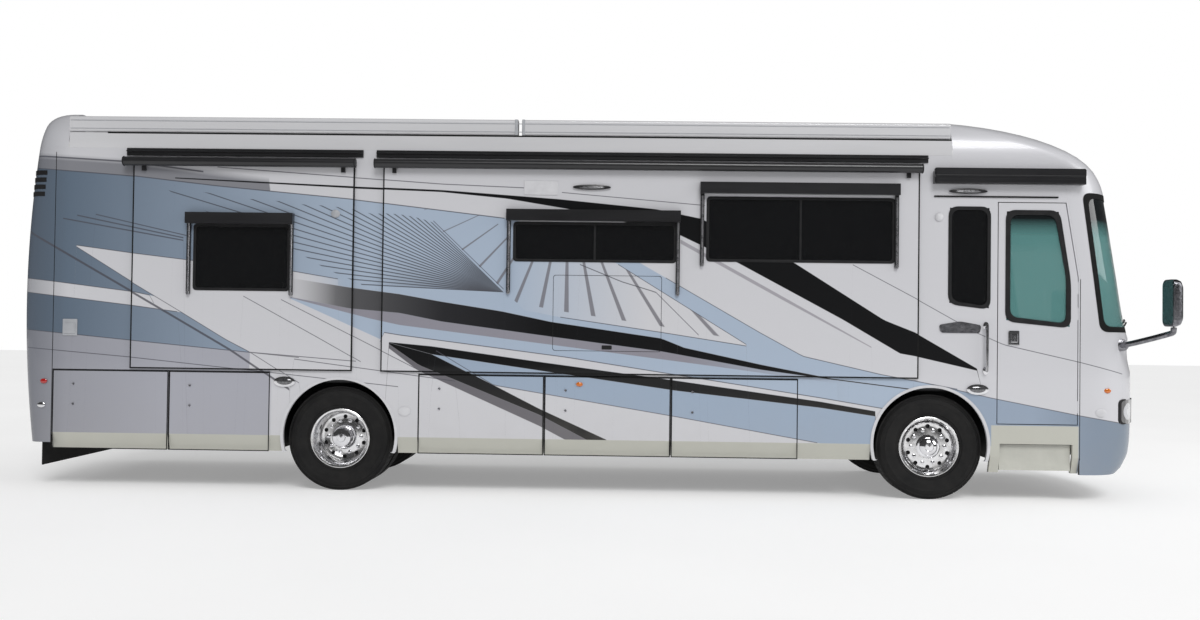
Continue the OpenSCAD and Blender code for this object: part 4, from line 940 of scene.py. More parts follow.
def row_tree():
    """Copies along a straight line."""
    inputs = [("Count", "NodeSocketInt"), ("Start", "NodeSocketVector"), ("Step", "NodeSocketVector")]
    tree = CopyTree("Row of copies", inputs)
    count, start, step = (tree.given(label) for label, _ in inputs)
    line = tree.node("GeometryNodeMeshLine", Count=count, Start_Location=start, Offset=step)
    tree.close(tree.node("GeometryNodeInstanceOnPoints", Points=line, Instance=tree.given("Geometry")))
    return tree


RING = ring_tree()
ROW = row_tree()


# ---- Caps, windshield and engine hatch ----


def smooth_lookup(value, pairs):
    """Curve through the pairs that doesn't overshoot between them."""
    if value <= pairs[0][0]:
        return pairs[0][1]
    if value >= pairs[-1][0]:
        return pairs[-1][1]
    slopes = [(b[1] - a[1]) / (b[0] - a[0]) for a, b in zip(pairs, pairs[1:])]
    i = next(k for k in range(len(slopes)) if value <= pairs[k + 1][0])

    def tangent(k):
        if k in (0, len(slopes)):
            return slopes[min(k, len(slopes) - 1)]
        a, b = slopes[k - 1], slopes[k]
        return 0 if a * b <= 0 else 2 * a * b / (a + b)

    (x0, y0), (x1, y1) = pairs[i], pairs[i + 1]
    width = x1 - x0
    t = (value - x0) / width
    near = (1 + 2 * t) * (1 - t) ** 2 * y0 + t * (1 - t) ** 2 * width * tangent(i)
    far = t * t * (3 - 2 * t) * y1 + t * t * (t - 1) * width * tangent(i + 1)
    return near + far


NOSE_PROFILE = [
    (NOSE_LOW, -0.18), (NOSE_LOW + 0.06, -0.105), (NOSE_LOW + 0.12, -0.07), (NOSE_LOW + 0.19, -0.03),
    (NOSE_LOW + 0.4, -0.005), (NOSE_LOW + 0.63, 0), (NOSE_LOW + 1.04, -0.002), (NOSE_LOW + 1.09, -0.026),
    (NOSE_LOW + 1.21, -0.043), (NOSE_LOW + 1.37, -0.033), (SCREEN_LOW, -0.06), (SCREEN_HIGH - 0.06, -0.3),
]
DOOR_TOP = SIDE_TOP - 0.46
CAP_RISE = CAP_TOP - SIDE_TOP
CORNER_PROFILE = [
    (DOOR_TOP - 0.745, 0.01), (DOOR_TOP, -0.125), (SIDE_TOP - 0.13, -0.18), (SIDE_TOP, -0.32),
    (SIDE_TOP + 0.45 * CAP_RISE, -0.77), (SIDE_TOP + 0.7 * CAP_RISE, -1.17), (CAP_TOP, -1.77),
]
VISOR_Z = SCREEN_HIGH - 0.06


def cap_half_width(z):
    share = max(0, min(1, (z - SIDE_TOP + 0.03) / (CAP_TOP - SIDE_TOP + 0.03)))
    return HALF - 0.33 * (1 - math.sqrt(1 - share * share))


def nose_x(z):
    if z > VISOR_Z:
        share = min(1, (z - VISOR_Z) / (CAP_TOP - VISOR_Z))
        return NOSE - 1.94 + 1.64 * math.sqrt(1 - share * share)
    return NOSE + smooth_lookup(z, NOSE_PROFILE)


def tail_x(z):
    full, fall = 1.87, 0.15
    share = max(0, (z - CAP_TOP + fall) / fall)
    return TAIL + 0.043 * (z - full) ** 2 + fall * (1 - math.sqrt(1 - min(1, share * share)))


def rounded_end(near_x, far_x, half_width, power, steps, z, back_x):
    """One level of a cap: a flat side, a rounded corner and the end face, from the kerb side round."""
    level = [(back_x, -half_width, z)]
    for i in range(steps + 1):
        a = math.pi * (i / steps - 0.5)
        across = math.copysign(abs(math.sin(a)) ** (2 / power), a) if abs(a) > 1e-9 else 0
        level.append((near_x + (far_x - near_x) * abs(math.cos(a)) ** (2 / power), half_width * across, z))
    return [*level, (back_x, half_width, z)]


def front_level(z, lift, inset, steps=72):
    at = z + lift
    corner = WALL_FRONT + smooth_lookup(at, CORNER_PROFILE)
    return rounded_end(
        corner, nose_x(at) - inset, cap_half_width(at) - inset, 2.8, steps, z, FRONT_AXLE - 0.7
    )


def rear_level(z, lift, inset, steps=48):
    at = z + lift
    return rounded_end(
        tail_x(at) + 0.26, tail_x(at) + inset, cap_half_width(at) - inset, 3.2, steps, z, WALL_REAR + 0.9
    )


def evenly(start, end, count):
    return [start + (end - start) * i / count for i in range(count + 1)]


DOME = [math.sin(math.pi / 2 * i / 16) for i in range(1, 17)]


def front_solid(inset, drop=0.0):
    top = CAP_TOP - inset
    levels = [*evenly(NOSE_LOW, NOSE_LOW + 0.4, 8), *evenly(NOSE_LOW + 0.45, NOSE_LOW + 1.43, 14)]
    levels += [*evenly(NOSE_LOW + 1.5, VISOR_Z, 8), *[VISOR_Z + (top - VISOR_Z) * s for s in DOME]]
    rings = [front_level(z, inset, inset) for z in levels]
    if drop:
        rings.insert(0, front_level(NOSE_LOW - drop, inset + drop, inset))
    return loose(Shape().loft(rings))


def rear_solid(inset, drop=0.0):
    top = CAP_TOP - inset
    start = SIDE_TOP - 0.03
    levels = [*evenly(TAIL_LOW, start, 24), *[start + (top - start) * s for s in DOME]]
    rings = [rear_level(z, inset, inset) for z in levels]
    if drop:
        rings.insert(0, rear_level(TAIL_LOW - drop, inset + drop, inset))
    return loose(Shape().loft(rings))


def side_view(outline):
    """Solid as wide as the coach and more, from its outline in side view."""
    return loose(Shape().prism(outline, "y", -2 * HALF, 2 * HALF))


LEAN = 0.124
FRONT_ZONE = [
    (WALL_FRONT, 0), (FRONT_AXLE + 4, 0), (FRONT_AXLE + 4, CAP_TOP + 0.5), (ROOF_FRONT, CAP_TOP + 0.5),
    (ROOF_FRONT, SIDE_TOP - 0.13), (WALL_FRONT - LEAN - 0.056, SIDE_TOP - 0.13),
    (WALL_FRONT - LEAN - 0.001, DOOR_TOP + 0.004), (WALL_FRONT, DOOR_TOP - 0.745),
]
REAR_ZONE = [
    (TAIL - 0.5, 0), (WALL_REAR, 0), (WALL_REAR, SIDE_TOP), (ROOF_REAR, SIDE_TOP), (ROOF_REAR, CAP_TOP + 0.5),
    (TAIL - 0.5, CAP_TOP + 0.5),
]


def screen_outline(gap):
    """Windshield in side view: a slanted rear edge with rounded corners."""
    lean = 0.185 / (SCREEN_HIGH - SCREEN_LOW)
    low, high = SCREEN_LOW + gap, SCREEN_HIGH - gap
    rear = [(NOSE - 0.74 + gap + (SCREEN_HIGH - z) * lean, z) for z in (high, low)]
    ahead = FRONT_AXLE + 3
    corners = rounded([rear[0], rear[1]] + [(ahead, low), (ahead, high)], 0.09)
    return corners


def paint_inside(cap, is_skin):
    """Gives the faces that aren't the outer skin the second finish."""
    for face in cap.data.polygons:
        face.material_index = 0 if is_skin(face.center) else 1


def on_front_skin(p):
    """True on the outside of the front cap and on its rear edge above the roof."""
    if p.z > SIDE_TOP and p.x < ROOF_FRONT + 0.01:
        return True
    corner = WALL_FRONT + smooth_lookup(p.z, CORNER_PROFILE)
    half = cap_half_width(p.z)
    share = min(1.0, abs(p.y) / half)
    skin_x = corner + (nose_x(p.z) - corner) * (1 - share**2.8) ** (1 / 2.8)
    return share > 0.985 or p.x > skin_x - 0.02 or p.z > CAP_TOP - 0.02


def on_rear_skin(p):
    """True on the outside of the rear cap and on its front edge above the roof."""
    if p.z > SIDE_TOP and p.x > ROOF_REAR - 0.01:
        return True
    half = cap_half_width(p.z)
    share = min(1.0, abs(p.y) / half)
    skin_x = tail_x(p.z) + 0.26 - 0.26 * (1 - share**3.2) ** (1 / 3.2)
    return share > 0.985 or p.x < skin_x + 0.02 or p.z > CAP_TOP - 0.02


def build_caps():
    front = cut(front_solid(0), side_view(FRONT_ZONE), "INTERSECT")
    hollow = cut(front_solid(WALL_T, 0.05), side_view([
        (ROOF_FRONT + WALL_T, 0), (FRONT_AXLE + 4, 0), (FRONT_AXLE + 4, CAP_TOP + 0.1),
        (ROOF_FRONT + WALL_T, CAP_TOP + 0.1), (ROOF_FRONT + WALL_T, ROOF_TOP - 0.1),
        (FRONT_AXLE - 0.7, ROOF_TOP - 0.1), (FRONT_AXLE - 0.7, 1.0),
    ]), "INTERSECT")
    cut(front, hollow)
    cut(front, side_view(screen_outline(0)))
    cut(
        front,
        loose(
            Shape().box((FRONT_AXLE + 1.7, -0.62, NOSE_LOW + 0.16), (FRONT_AXLE + 3, 0.62, NOSE_LOW + 0.33))
        )
    )
    front.name = "front_cap_shell"
    settle(front, COACH, [PAINT, CAP_LINER])
    paint_inside(front, on_front_skin)
    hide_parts("front_cap")

    screen = cut(front_solid(0.002), front_solid(0.016, 0.05))
    cut(screen, side_view(screen_outline(0.0003)), "INTERSECT")
    screen.name = "windshield_glass_pane"
    settle(screen, COACH, TEAL_GLASS)
    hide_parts("windshield")
    border = cut(front_solid(-0.003), front_solid(0.0008, 0.05))
    cut(border, side_view(screen_outline(-0.012)), "INTERSECT")
    cut(border, side_view(screen_outline(0.042)))
    border.name = "windshield_border"
    settle(border, COACH, SEAM_BLACK)

    hatch_block = ((TAIL - 0.2, -0.8, 0.72), (TAIL + 0.18, 0.8, 1.56))
    rear = cut(rear_solid(0), side_view(REAR_ZONE), "INTERSECT")
    hollow = cut(rear_solid(WALL_T, 0.1), side_view([
        (TAIL - 0.5, 0), (ROOF_REAR + 0.3, 0), (ROOF_REAR + 0.3, ROOF_TOP - 0.1),
        (ROOF_REAR - WALL_T, ROOF_TOP - 0.1), (ROOF_REAR - WALL_T, CAP_TOP + 0.1),
        (TAIL - 0.5, CAP_TOP + 0.1),
    ]), "INTERSECT")
    cut(rear, hollow)
    cut(rear, loose(Shape().box(*hatch_block)))
    rear.name = "rear_cap_shell"
    settle(rear, COACH, [PAINT, CAP_LINER])
    paint_inside(rear, on_rear_skin)
    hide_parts("rear_cap")

    seam = 0.008
    hatch = cut(rear_solid(0), rear_solid(WALL_T - 0.005, 0.1))
    inner = [
        tuple(v + s * seam for v, s in zip(corner, signs))
        for corner, signs in zip(hatch_block, ((0, 1, 1), (0, -1, -1)))
    ]
    cut(hatch, loose(Shape().box(*inner)), "INTERSECT")
    hatch.name = "engine_hatch_panel"
    settle(hatch, "engine_hatch", [PAINT, CAP_LINER])
    paint_inside(hatch, on_rear_skin)
    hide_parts("engine_hatch")


build_caps()


# ---- Wheels ----

NUTS = 10
NUT_RING = 0.1675
HOLE_RING = 0.204
HOLE_R = 0.021
HUB_R = 0.05


def tyre_profile():
    """Section of a tyre in (radius, distance along Y), with ribbed walls and no tread."""
    bead = RIM_R - 0.0165
    half = TYRE_HALF
    wall = [
        (bead, half - 0.038), (bead + 0.022, half - 0.020), (bead + 0.035, half - 0.014),
        (bead + 0.045, half - 0.016), (bead + 0.052, half - 0.008), (bead + 0.085, half - 0.002),
        (bead + 0.12, half), (bead + 0.15, half - 0.001), (bead + 0.156, half + 0.002),
        (bead + 0.162, half - 0.002), (bead + 0.19, half - 0.006), (TYRE_R - 0.045, half - 0.009),
        (TYRE_R - 0.04, half - 0.005), (TYRE_R - 0.03, half - 0.014), (TYRE_R - 0.014, half - 0.03),
        (TYRE_R - 0.012, half - 0.06),
    ]
    return [*wall, *[(r, -y) for r, y in reversed(wall)]]


def tread_block(count, width):
    length = 2 * math.pi * TYRE_R / count - 0.0045
    block = Shape()
    zig = 0.006
    outline = [
        (-width / 2, -length / 2), (0, -length / 2 + zig), (width / 2, -length / 2), (width / 2, length / 2),
        (0, length / 2 + zig), (-width / 2, length / 2),
    ]
    return block.prism(outline, "x", -0.014, 0, bevel=0.0)


def lug_nut():
    """Nut and stud end that point along +Y, drawn on the ring's own place."""
    nut = Shape()
    steps = ((0.021, 0), (0.021, 0.006), (0.0165, 0.008), (0.0165, 0.026), (0.013, 0.032), (0.008, 0.033))
    nut.loft([[(a, y, b) for a, b in circle(radius, 6)] for radius, y in steps])
    nut.mesh.normal_update()
    return nut


def rim_face(disc, dish):
    """Closed section of a rim seen from outside: flange, barrel, disc and hub, as (radius, outward)."""
    half = TYRE_HALF - 0.04
    return [
        (RIM_R, half + 0.026), (RIM_R - 0.006, half + 0.0285), (RIM_R - 0.022, half + 0.026),
        (RIM_R - 0.034, half + 0.006), (RIM_R - 0.046, half - 0.03), (RIM_R - 0.052, disc + 0.02),
        (RIM_R - 0.062, disc + 0.006), (RIM_R - 0.085, disc), (0.19, disc + dish * 0.35), (0.13, disc + dish),
        (HUB_R, disc + dish), (HUB_R, disc + dish - 0.02), (0.19, disc - 0.014), (RIM_R - 0.06, disc - 0.012),
        (RIM_R - 0.06, -half + 0.05), (RIM_R - 0.036, -half), (RIM_R - 0.03, -half - 0.026),
        (RIM_R, -half - 0.026), (RIM_R, -half - 0.016), (RIM_R - 0.016, -half - 0.016),
        (RIM_R - 0.017, -half), (RIM_R - 0.042, -half + 0.05), (RIM_R - 0.042, half - 0.05),
        (RIM_R - 0.0175, half), (RIM_R - 0.0165, half + 0.016), (RIM_R, half + 0.016),
    ]


def build_wheel(label, body, x, side, offsets, metal, front):
    """Tyres and rims of one wheel body; side is -1 on the kerb side, offsets run from the outside in."""
    tyres, count, rows = Shape(), 56, 5
    for offset in offsets:
        tyres.turned(tyre_profile(), (x, side * offset, AXLE_Z), 128)
    tyre = tyres.piece(f"{label}_tyre_rubber", body, RUBBER, "tyre_rubber", 30, recalc=True)
    pitch = 0.049
    for i, offset in enumerate(offsets):
        start = (x, side * offset - pitch * (rows - 1) / 2, AXLE_Z)
        tread = RING.run(
            tread_block(count, 0.044), f"{label}_tread_{i + 1}", Count=count, Radius=TYRE_R, Rows=rows,
            Row_pitch=pitch, Centre=start,
            Finish=RUBBER,
        )
        settle(tread, body, RUBBER)
    if front:
        faces = [(offsets[0], side, 0.082, 0.012)]
    else:
        faces = [(offsets[0], side, -0.085, 0.02), (offsets[1], -side, -0.085, 0.02)]
    for i, (offset, out, disc, dish) in enumerate(faces):
        middle = side * offset
        profile = [(r, out * o) for r, o in rim_face(disc, dish)]
        rim = loose(Shape().turned(profile, (x, middle, AXLE_Z), 96), "rim")
        bm = bmesh.new()
        bm.from_mesh(rim.data)
        bmesh.ops.recalc_face_normals(bm, faces=bm.faces)
        bm.to_mesh(rim.data)
        bm.free()
        holes = Shape()
        near, far = (middle + out * (disc + reach) for reach in (-0.05, 0.05))
        for place in circle(HOLE_RING, NUTS, (x, AXLE_Z), 0.5):
            holes.prism(circle(HOLE_R, 24, place), "y", near, far)
        cut(rim, loose(holes))
        rim.name = f"{label}_rim_{i + 1}"
        section = ((0.165, 0.022), (0.222, 0.022), (0.222, 0.028), (0.165, 0.028))
        shield = [(r, out * (disc - d)) for r, d in section]
        backing = Shape().turned(shield, (x, middle, AXLE_Z), 48)
        backing.piece(f"{label}_brake_shield_{i + 1}", body, TRIM_BLACK, "chassis", recalc=True)
        settle(rim, body, metal, 30)
        nut = lug_nut()
        if out < 0:
            bmesh.ops.transform(nut.mesh, matrix=Matrix.Rotation(math.pi, 4, "X"), verts=nut.mesh.verts)
        nuts = RING.run(
            nut, f"{label}_wheel_nuts_{i + 1}", Count=NUTS, Radius=NUT_RING, Rows=1, Row_pitch=0.0,
            Centre=(x, middle + out * (disc + dish * 0.6), AXLE_Z), Finish=CHROME,
        )
        settle(nuts, body, CHROME)
    nodes = [name for name, node in frame["nodes"].items() if node["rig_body"] == body]
    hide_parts(*[name for name in nodes if "tyre" in name])
    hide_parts(*[name for name in nodes if "rim" in name])
    # Hub cap: low and domed at the front, a tall stepped cover in the deep rear rim
    base = faces[0][2] + faces[0][3]
    if front:
        hub = [
            (0, -0.015), (0.118, -0.015), (0.118, 0.012), (0.108, 0.02), (0.09, 0.022), (0.086, 0.04),
            (0.07, 0.056), (0.045, 0.064), (0.04, 0.07), (0, 0.072),
        ]
    else:
        hub = [
            (0, -0.015), (0.125, -0.015), (0.125, 0.03), (0.112, 0.045), (0.1, 0.05), (0.098, 0.13),
            (0.09, 0.145), (0.062, 0.155), (0.045, 0.156), (0.04, 0.166), (0, 0.168),
        ]
    cap = Shape()
    cap.turned([(max(r, 0.0005), side * (base + o)) for r, o in hub], (x, side * offsets[0], AXLE_Z), 64)
    cap.piece(f"{label}_hub_cap", body, CHROME, "chrome_trim", 30, recalc=True)


for side_name, side in (("right", -1), ("left", 1)):
    build_wheel(
        f"front_{side_name}", f"front_{side_name}_wheel", FRONT_AXLE, side, [WHEEL_Y], FRONT_METAL, True
    )
    rear_middles = [WHEEL_Y, WHEEL_Y - TWIN_PITCH]
    build_wheel(
        f"rear_{side_name}", f"rear_{side_name}_wheels", REAR_AXLE, side, rear_middles, REAR_METAL, False
    )


# ---- Windows ----


def frame_of(outline, name, body, face_y, side=-1, outward=0.012, inward=0.014, radius=0.03):
    """Black rim round a pane of (x, z) corners; side is -1 on the kerb side."""
    cx = sum(p[0] for p in outline) / len(outline)
    cz = sum(p[1] for p in outline) / len(outline)

    def grown(by):
        return [(x + by * math.copysign(1, x - cx), z + by * math.copysign(1, z - cz)) for x, z in outline]

    outer, inner = rounded(grown(outward), radius + outward), rounded(grown(-inward), radius)
    y0, y1 = side * (face_y + 0.005), side * (face_y - 0.006)
    rim = Shape().band(outer, inner, "y", y0, y1)
    return rim.piece(name, body, TRIM_BLACK, "black_case", 30, recalc=True)


def pane_of(node):
    low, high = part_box(node)
    return rectangle(low.x, low.z, high.x, high.z)


BEDROOM_PANE = pane_of("bedroom_slide_window")
GALLEY_PANE = pane_of("galley_slide_windows")
DINETTE_PANE = rectangle(FRONT_AXLE - 4.16, 2.335, FRONT_AXLE - 2.551, 2.708)
SOFA_PANE = rectangle(FRONT_AXLE - 2.229, 2.355, FRONT_AXLE - 0.382, 2.98)
PORTHOLE = [
    (FRONT_AXLE + x, DOOR_TOP - down)
    for x, down in ((0.178, 1.01), (0.57, 1.06), (0.57, 0.062), (0.178, 0.062))
]
DRIVER_PANE = [
    (FRONT_AXLE + x, DOOR_TOP - down)
    for x, down in ((0.25, 1.01), (1.3, 1.06), (1.3, 0.7), (1.2, 0.062), (0.25, 0.062))
]
DOOR_X0, DOOR_X1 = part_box("entry_door")[0].x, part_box("entry_door")[1].x
DOOR_PANE = [
    (DOOR_X0 + 0.084, DOOR_TOP - 1.175), (DOOR_X1 - 0.081, DOOR_TOP - 1.235),
    (DOOR_X1 - 0.081, DOOR_TOP - 0.775), (DOOR_X1 - LEAN - 0.071, DOOR_TOP - 0.092),
    (DOOR_X0 + 0.084, DOOR_TOP - 0.092),
]


def build_window_rims():
    for outline, name, body, face, side, inward, radius in (
        (BEDROOM_PANE, "bedroom", "bedroom_slide", FACE, -1, 0.014, 0.03),
        (DINETTE_PANE, "dinette", "living_slide", FACE, -1, 0.014, 0.03),
        (SOFA_PANE, "sofa", "living_slide", FACE, -1, 0.014, 0.03),
        (GALLEY_PANE, "galley", "galley_slide", FACE, 1, 0.014, 0.03),
        (PORTHOLE, "porthole", COACH, HALF, -1, 0.02, 0.085),
        (DRIVER_PANE, "driver", COACH, HALF, 1, 0.02, 0.07),
        (BEDROOM_PANE, "road_side_bedroom", COACH, HALF, 1, 0.014, 0.04),
        (DOOR_PANE, "entry_door", "entry_door", HALF, -1, 0.034, 0.085),
    ):
        frame_of(outline, f"{name}_window_rim", body, face, side, 0.014, inward, radius)
    mullions = Shape()
    for x, low, high in (
        ((DINETTE_PANE[0][0] + DINETTE_PANE[1][0]) / 2, DINETTE_PANE[0][1], DINETTE_PANE[2][1]),
        ((SOFA_PANE[0][0] + SOFA_PANE[1][0]) / 2, SOFA_PANE[0][1], SOFA_PANE[2][1]),
    ):
        mullions.box((x - 0.011, -FACE - 0.002, low - 0.005), (x + 0.011, -FACE + 0.005, high + 0.005), 0.002)
    mullions.piece("slide_window_mullions", "living_slide", TRIM_BLACK, "black_case")


# ---- Awning fittings ----


def build_slide_trims():
    """Black rubber round the edge of each slide-out's face, partly a seal and partly painted shade in the seam
    behind it, the white fascia under the patio awnings, and a black strip under the awning case as painted
    shadow.
    """
    for node, side in (("bedroom_slide", -1), ("living_slide", -1), ("galley_slide", 1)):
        low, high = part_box(node)
        outer = rectangle(low.x - 0.006, low.z - 0.006, high.x + 0.006, high.z + 0.006)
        inner = rectangle(low.x + 0.007, low.z + 0.007, high.x - 0.007, high.z - 0.007)
        trim = Shape().band(outer, inner, "y", side * (FACE + 0.0015), side * (FACE - 0.0005))
        # The band from the face back to the wall is black as painted shade in the seam round the slide-out.
        trim.band(
            outer, rectangle(low.x + 0.0002, low.z + 0.0002, high.x - 0.0002, high.z - 0.0002), "y",
            side * FACE, side * (HALF + 0.004)
        )
        trim.piece(f"{node}_edge_trim", node, SEAM_BLACK, "flap_rubber", recalc=True)
    case_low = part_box("patio_awnings")[1].z - AWNING_CASE_H
    fascia = Shape().box(
        (ROOF_REAR + 0.01, -HALF - 0.001, SIDE_TOP - 0.006),
        (ROOF_FRONT - 0.005, -HALF + 0.009, case_low - 0.006), 0.003
    )
    fascia.piece("awning_fascia", COACH, CASE_WHITE, "roof_white")
    # Black strip under the patio awning case: painted shadow in the gap below it.
    groove = Shape().box(
        (ROOF_REAR + 0.4, -HALF - 0.002, case_low - 0.016),
        (ROOF_FRONT - 0.01, -HALF + 0.008, case_low - 0.002)
    )
    groove.piece("awning_shadow_strip", COACH, SEAM_BLACK, "flap_rubber")


def build_awning_fittings():
    """Bright arms over the folded black ones, end caps and rails over the rollers."""
    for body, panes, drops in (
        ("bedroom_slide", [BEDROOM_PANE], [0.05]), ("living_slide", [DINETTE_PANE, SOFA_PANE], [0.33, 0.055]),
    ):
        arms = Shape()
        for pane, drop in zip(panes, drops):
            for x in (pane[0][0] - 0.056, pane[1][0] + 0.027):
                arms.box(
                    (x - 0.009, -FACE - 0.032, pane[0][1] - drop + 0.01),
                    (x + 0.009, -FACE - 0.0255, pane[2][1] + 0.02), 0.003
                )
                arms.box(
                    (x - 0.015, -FACE - 0.034, pane[0][1] - drop - 0.012),
                    (x + 0.015, -FACE - 0.003, pane[0][1] - drop + 0.03), 0.005
                )
        arms.piece(f"{body}_awning_arms", body, ARM_METAL, "chrome_trim")
    rails = Shape()
    for node in ("bedroom_slide", "living_slide"):
        low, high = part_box(node)
        x0, x1 = low.x - 0.08, high.x + 0.09
        rails.box((x0, -HALF - 0.016, high.z + 0.062), (x1, -HALF + 0.001, SIDE_TOP - 0.004), 0.004)
        rails.box((x0, -HALF - 0.03, high.z + 0.1), (x1, -HALF + 0.001, high.z + 0.115), 0.003)
    rails.piece("topper_rails", COACH, CASE_BLACK, "black_case")
    for node, slide, side in (
        ("bedroom_slide_awnings", "bedroom_slide", -1), ("living_slide_awnings", "living_slide", -1),
        ("galley_slide_awning", "galley_slide", 1),
    ):
        low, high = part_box(node)
        z = high.z - 0.046
        y = side * (FACE + 0.046)
        caps = Shape()
        slide_low, slide_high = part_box(slide)
        for x in (max(low.x, slide_low.x - 0.079) - 0.006, min(high.x, slide_high.x + 0.014) + 0.006):
            caps.prism(circle(0.05, 32, (y, z)), "x", x - 0.006, x + 0.006, 0.003)
        caps.piece(f"{slide}_roller_caps", slide, TRIM_BLACK, "black_case")
    low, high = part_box("door_awning")
    case = Shape()
    for i, (z0, z1, out) in enumerate(((low.z, low.z + 0.07, 0.0), (low.z + 0.074, high.z, 0.004))):
        case.box(
            (low.x - 0.004, low.y - 0.004 - out, z0), (high.x + 0.004, low.y + 0.03 + 0.01 * i, z1), 0.012
        )
    case.piece("door_awning_case", COACH, CASE_BLACK, "black_case")
    low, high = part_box("patio_awnings")
    lips = Shape()
    foot = high.z - AWNING_CASE_H
    for z in (foot + 0.028, foot + 0.11):
        lips.box((low.x + 0.01, low.y - 0.004, z), (high.x - 0.01, low.y + 0.006, z + 0.007), 0.002)
    gap_x = low.x + 4.566
    for x in (gap_x - 0.05, gap_x + 0.022):
        lips.box((x, low.y - 0.006, foot), (x + 0.028, low.y + 0.02, high.z), 0.003)
    lips.piece("patio_awning_lips", COACH, GREY_PLASTIC, "awning_case")


# ---- Small fittings on the kerb and road sides ----


def cap_y(x, z):
    """Half width of the front cap at x and z."""
    corner = WALL_FRONT + smooth_lookup(z, CORNER_PROFILE)
    share = max(0, min(1, (x - corner) / (nose_x(z) - corner)))
    return cap_half_width(z) * (1 - share**2.8) ** (1 / 2.8)


def button(name, body, x, z, size, face, finish, depth, dome, slot="lamp_lens", both=False):
    """Domed oval on a side."""
    made = Shape().oval((x, -face - depth, z), size, "y", depth + 0.002, dome)
    if both:
        made.mirrored()
    return made.piece(name, body, finish, slot, 40, recalc=True)


def build_side_lamps():
    """Docking lights, porch lights, round lamps, markers and the fuel cap's ring."""
    for name, x, z in (("rear", FRONT_AXLE - 6.454, 1.087), ("front", FRONT_AXLE + 0.46, 1.103)):
        label = f"{name}_docking_light"
        button(f"{label}_ring", COACH, x, z, (0.108, 0.052), HALF, CHROME, 0.018, 0.003, "chrome_trim")
        button(label, COACH, x, z, (0.078, 0.033), HALF, CLEAR_LENS, 0.021, 0.008)
    z = 3.072
    for i, (body, face, along) in enumerate((("living_slide", FACE, -3.391), (COACH, HALF, 0.355))):
        label, x = f"porch_light_{i + 1}", FRONT_AXLE + along
        button(f"{label}_shade", body, x, z, (0.19, 0.026), face, CASE_BLACK, 0.02, 0.004, "black_case")
        button(f"{label}_lens", body, x, z - 0.004, (0.13, 0.011), face, CLEAR_LENS, 0.026, 0.003)
    x = FRONT_AXLE + 0.071
    button(
        "round_lamp_bedroom", "bedroom_slide", -2.508, 2.78, (0.045, 0.04), FACE, GREY_PLASTIC, 0.012, 0.012
    )
    button("round_lamp_front", COACH, x, 2.812, (0.042, 0.042), HALF, WHITE_PLASTIC, 0.012, 0.012)
    x, small = REAR_AXLE + 0.658, (0.034, 0.024)
    button("fuel_cap_ring", COACH, x, 0.805, (0.062, 0.045), HALF, WHITE_PLASTIC, 0.01, 0.004, "body_paint")
    x, z = FRONT_AXLE + 1.75, 1.106
    button("front_marker", COACH, x, z, small, cap_y(x, z) - 0.004, AMBER, 0.014, 0.006, both=True)
    x, z = FRONT_AXLE + 1.68, 0.886
    button("front_cover", COACH, x, z, (0.055, 0.04), cap_y(x, z) - 0.004, WHITE_PLASTIC, 0.014, 0.006)
    button("bay_marker", "right_bay_door_4", -0.035, 1.10, (0.034, 0.022), HALF, AMBER, 0.012, 0.006)
    button("tail_marker", COACH, WALL_REAR - 0.08, 1.06, small, HALF, RED, 0.012, 0.006, both=True)
    size = (0.04, 0.026)
    button(
        "tail_side_lamp", COACH, WALL_REAR - 0.1, 0.82, size, HALF, CHROME, 0.012, 0.006, "chrome_trim", True
    )


